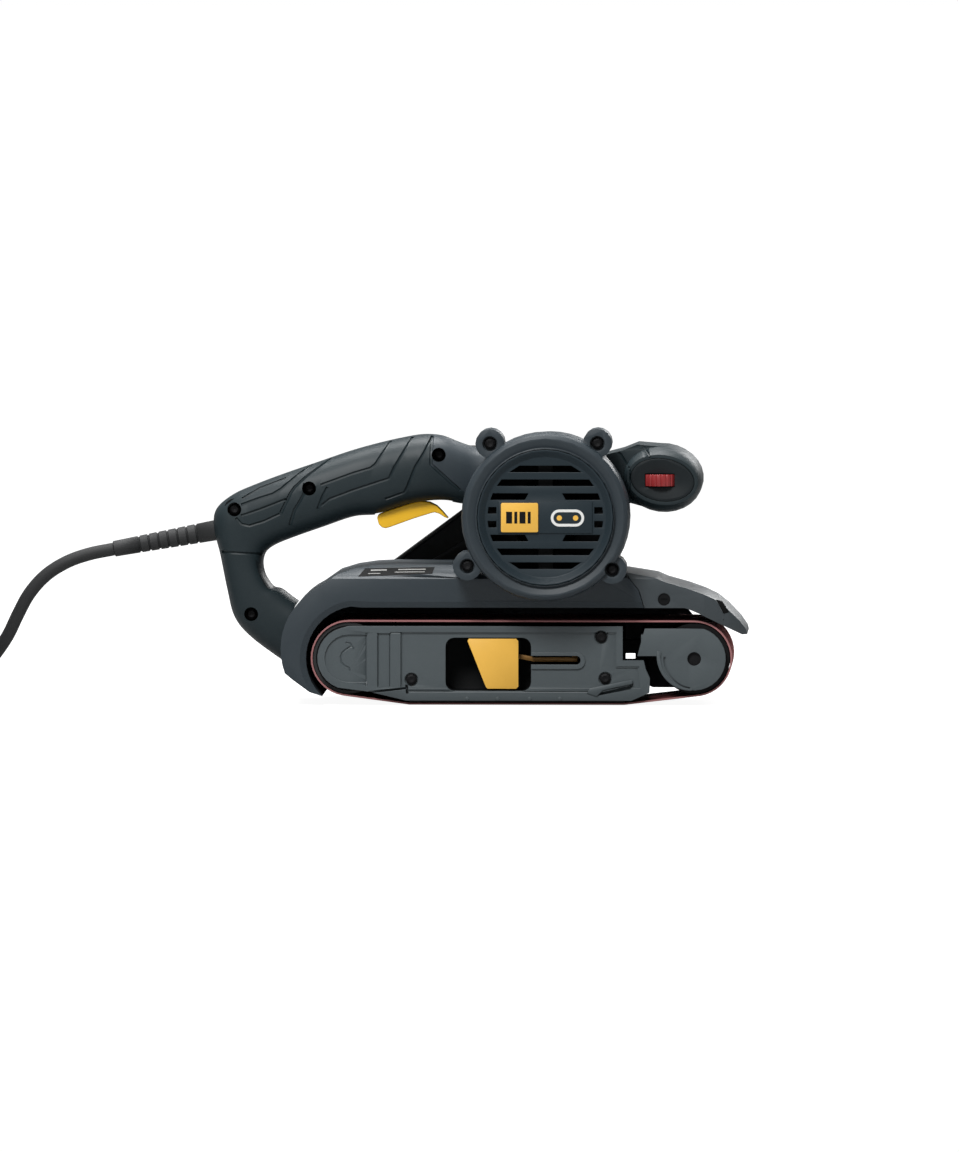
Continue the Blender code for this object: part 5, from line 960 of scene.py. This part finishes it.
def make_case_screw(name, x, z, face):
    """A countersunk cross-head screw under the cover's face."""
    head = disc_piece(name, x, z, 3.7 * MM, face - 2.4 * MM, face - 0.5 * MM, STEEL)
    half_long, half_wide = 2.2 * MM, 0.45 * MM
    for angle in (25, 115):
        a = math.radians(angle)
        u, v = Vector((math.cos(a), 0, math.sin(a))), Vector((-math.sin(a), 0, math.cos(a)))
        cross = [Vector((x, 0, z)) + u * s * half_long + v * t * half_wide
                 for s, t in ((-1, -1), (1, -1), (1, 1), (-1, 1))]
        carve(head, plate_piece("cross", [(p.x, p.z) for p in cross], face - 1.5 * MM, face + MM))
    round_piece(head, 0.25)
    settle_new(head, "root")


def make_drive_cover():
    piece = softened("drive_cover", 1.6, BLACK_CASE, segments=3)
    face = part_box("drive_cover")[1][1]
    slant = math.degrees(math.atan2(MOTOR.z - DRIVE.z, MOTOR.x - DRIVE.x))
    line = arc_line(DRIVE.x, DRIVE.z, 18 * MM, slant + 90, slant + 270, 20)
    line += arc_line(MOTOR.x, MOTOR.z, 23 * MM, slant - 90, slant + 90, 24)
    carve(piece, line_tool([(x, face, z) for x, z in line], 0.9 * MM, ring=True))
    places = ((DRIVE.x - 10 * MM, DRIVE.z - 8 * MM), ((DRIVE.x + MOTOR.x) / 2, (DRIVE.z + MOTOR.z) / 2),
              (MOTOR.x + 13 * MM, MOTOR.z + 9 * MM))
    for k, (x, z) in enumerate(places):
        carve(piece, disc_piece("sink", x, z, 4.2 * MM, face - 1.6 * MM, face + 3 * MM))
        make_case_screw(f"case_screw_{k + 1}", x, z, face)
    settle_new(piece, "root")


make_drive_cover()
softened("dust_outlet", 0.8, BLACK_CASE)
softened("tracking_knob", 0.5, BLACK_CASE)
paint(STEEL, "motor_pulley")
paint(BLACK, "driven_pulley")
paint(RUBBER, "timing_belt")


# ---- Cord guard: a soft tapered sleeve with shallow rings, so that it bends evenly.

def make_guard():
    piece = softened("cord_guard", 0.3, RUBBER)
    root = Vector((MOTOR.x - 185.7 * MM, 0, MOTOR.z - 9.7 * MM))
    across = Vector((0, 1, 0))
    up = CORD_WAY.cross(across)
    for k in range(7):
        centre = root + CORD_WAY * (14 + 5.5 * k) * MM
        hit, place, *_ = piece.ray_cast(centre + across * 40 * MM, -across)
        if hit:
            ring = [centre + (across * math.cos(a) + up * math.sin(a)) * place.y
                    for a in (2 * PI * i / 24 for i in range(24))]
            carve(piece, line_tool(ring, 0.75 * MM, ring=True))
    settle_new(piece, "root")


softened("power_plug", 0.9, RUBBER)
make_guard()


# ---- Mains cord: 3 m of 7.4 mm rubber flex. It leaves the guard behind the handle, falls to the floor, and
# lies there wound in a round coil held by a tie, with its moulded two-pin plug on top.

CORD_R = 3.7 * MM
COIL = Vector((-0.340, -0.0163, 0))
COIL_R = 12 * CORD_R
LAYERS = ((3, 2, 1, 0), (0, 1, 2, 3), (2.5, 1.5))  # the place of each turn across the coil, from the inside
MID_LAYER = 1.5
TAIL_R = 34 * MM
TAIL_TURN = math.radians(100)
PLUG_HIGH = 16 * MM
GAP = 0.3 * MM


def coil_points(steps=48):
    """The coil's turns. In the last part of each, the cord eases over to the next turn's place."""
    turns = [(place, level) for level, layer in enumerate(LAYERS) for place in layer]
    following_turns = turns[1:] + [(MID_LAYER, len(LAYERS))]
    points = []
    for (place, level), following in zip(turns, following_turns):
        for i in range(steps):
            share = i / steps
            ease = min(max((share - 0.82) / 0.18, 0), 1)
            ease = ease * ease * (3 - 2 * ease)
            radius = COIL_R + (place + (following[0] - place) * ease - MID_LAYER) * 2 * CORD_R
            angle = PI / 2 + 2 * PI * share
            high = (level + (following[1] - level) * ease) * 2 * CORD_R + CORD_R + 0.1 * MM
            points.append((COIL.x + radius * math.cos(angle), COIL.y + radius * math.sin(angle), high))
    return points


def cord_route():
    """Points along the cord: the listed fall to the floor, then the turns, then the tail across the coil."""
    points = [
        (-0.2089, 0.0, 0.0862), (-0.2231, 0.0, 0.0833), (-0.2360, 0.0003, 0.0786),
        (-0.2478, 0.0015, 0.0710), (-0.2571, 0.0035, 0.0606), (-0.2638, 0.0065, 0.0485),
        (-0.2700, 0.0100, 0.0360), (-0.2785, 0.0150, 0.0240), (-0.2865, 0.0196, 0.0160),
        (-0.2960, 0.0250, 0.0095), (-0.3070, 0.0310, 0.0058), (-0.3190, 0.0360, 0.0041),
        (-0.3300, 0.0386, 0.0038),
    ]
    points += coil_points()
    top = len(LAYERS) * 2 * CORD_R + GAP
    low, high = top + CORD_R, top + PLUG_HIGH / 2
    for i in range(13):
        share = i / 12
        angle = PI / 2 + TAIL_TURN * share
        points.append((COIL.x + TAIL_R * math.cos(angle), COIL.y + COIL_R - TAIL_R + TAIL_R * math.sin(angle),
                       low + (high - low) * share * share * (3 - 2 * share)))
    heading, into_plug = PI + TAIL_TURN, 8 * MM
    x, y, z = points[-1]
    points.append((x + into_plug * math.cos(heading), y + into_plug * math.sin(heading), z))
    return [Vector(p) for p in points]


def smooth_line(points, spacing):
    """Evenly spaced points on a smooth curve through the given ones, and the curve's length."""
    ends = [2 * points[0] - points[1], *points, 2 * points[-1] - points[-2]]
    fine = []
    for a, b, c, d in zip(ends, ends[1:], ends[2:], ends[3:]):
        fine += [between(a, b, c, d, i / 10) for i in range(10)]
    fine.append(points[-1])
    total = sum((b - a).length for a, b in zip(fine, fine[1:]))
    count = round(total / spacing)
    placed, along, step, index = [fine[0]], 0.0, total / count, 1
    for a, b in zip(fine, fine[1:]):
        length = (b - a).length
        while index < count and along + length >= index * step:
            placed.append(a + (b - a) * ((index * step - along) / length))
            index += 1
        along += length
    return placed + [fine[-1]], total


def make_tie():
    """A hook-and-loop strap over the coil's turns, its ends tucked under them."""
    around, half_thick, half_wide = math.radians(300), 0.5, 5
    out = Vector((math.cos(around), math.sin(around), 0))
    along = Vector((-math.sin(around), math.cos(around), 0))
    path = [(-15.7, 0.4), (-15.8, 8.0), (-14.0, 14.6), (-8.4, 17.4), (-3.4, 21.6), (0.0, 23.3), (7.4, 23.3),
            (11.4, 20.9), (14.7, 15.2), (15.9, 8.0), (15.9, 0.4)]  # across the coil and up, in mm
    skins = []
    for offset in (-half_thick, half_thick):
        skin = []
        for before, here, after in zip([path[0], *path], path, [*path[1:], path[-1]]):
            run = Vector((after[0] - before[0], after[1] - before[1])).normalized()
            skin.append((here[0] - run.y * offset, here[1] + run.x * offset))
        skins.append(skin)
    section = skins[0] + skins[1][::-1]
    rings = [[COIL + out * (COIL_R + r * MM) + along * t * MM + Vector((0, 0, h * MM)) for r, h in section]
             for t in (-half_wide, half_wide)]
    tie = lofted_piece("cord_tie", rings, BLACK)
    settle_new(tie, "root")
    return tie


def make_cord():
    """The cord as one round run, and its tie."""
    tie = make_tie()
    line, length = smooth_line(cord_route(), 3 * MM)
    cord = round_line("mains_cord", line, CORD_R, 4)
    cord.data.materials.append(RUBBER)
    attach(cord, "root")
    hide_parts("power_cord", "cord_coil", "cord_tail")


make_cord()
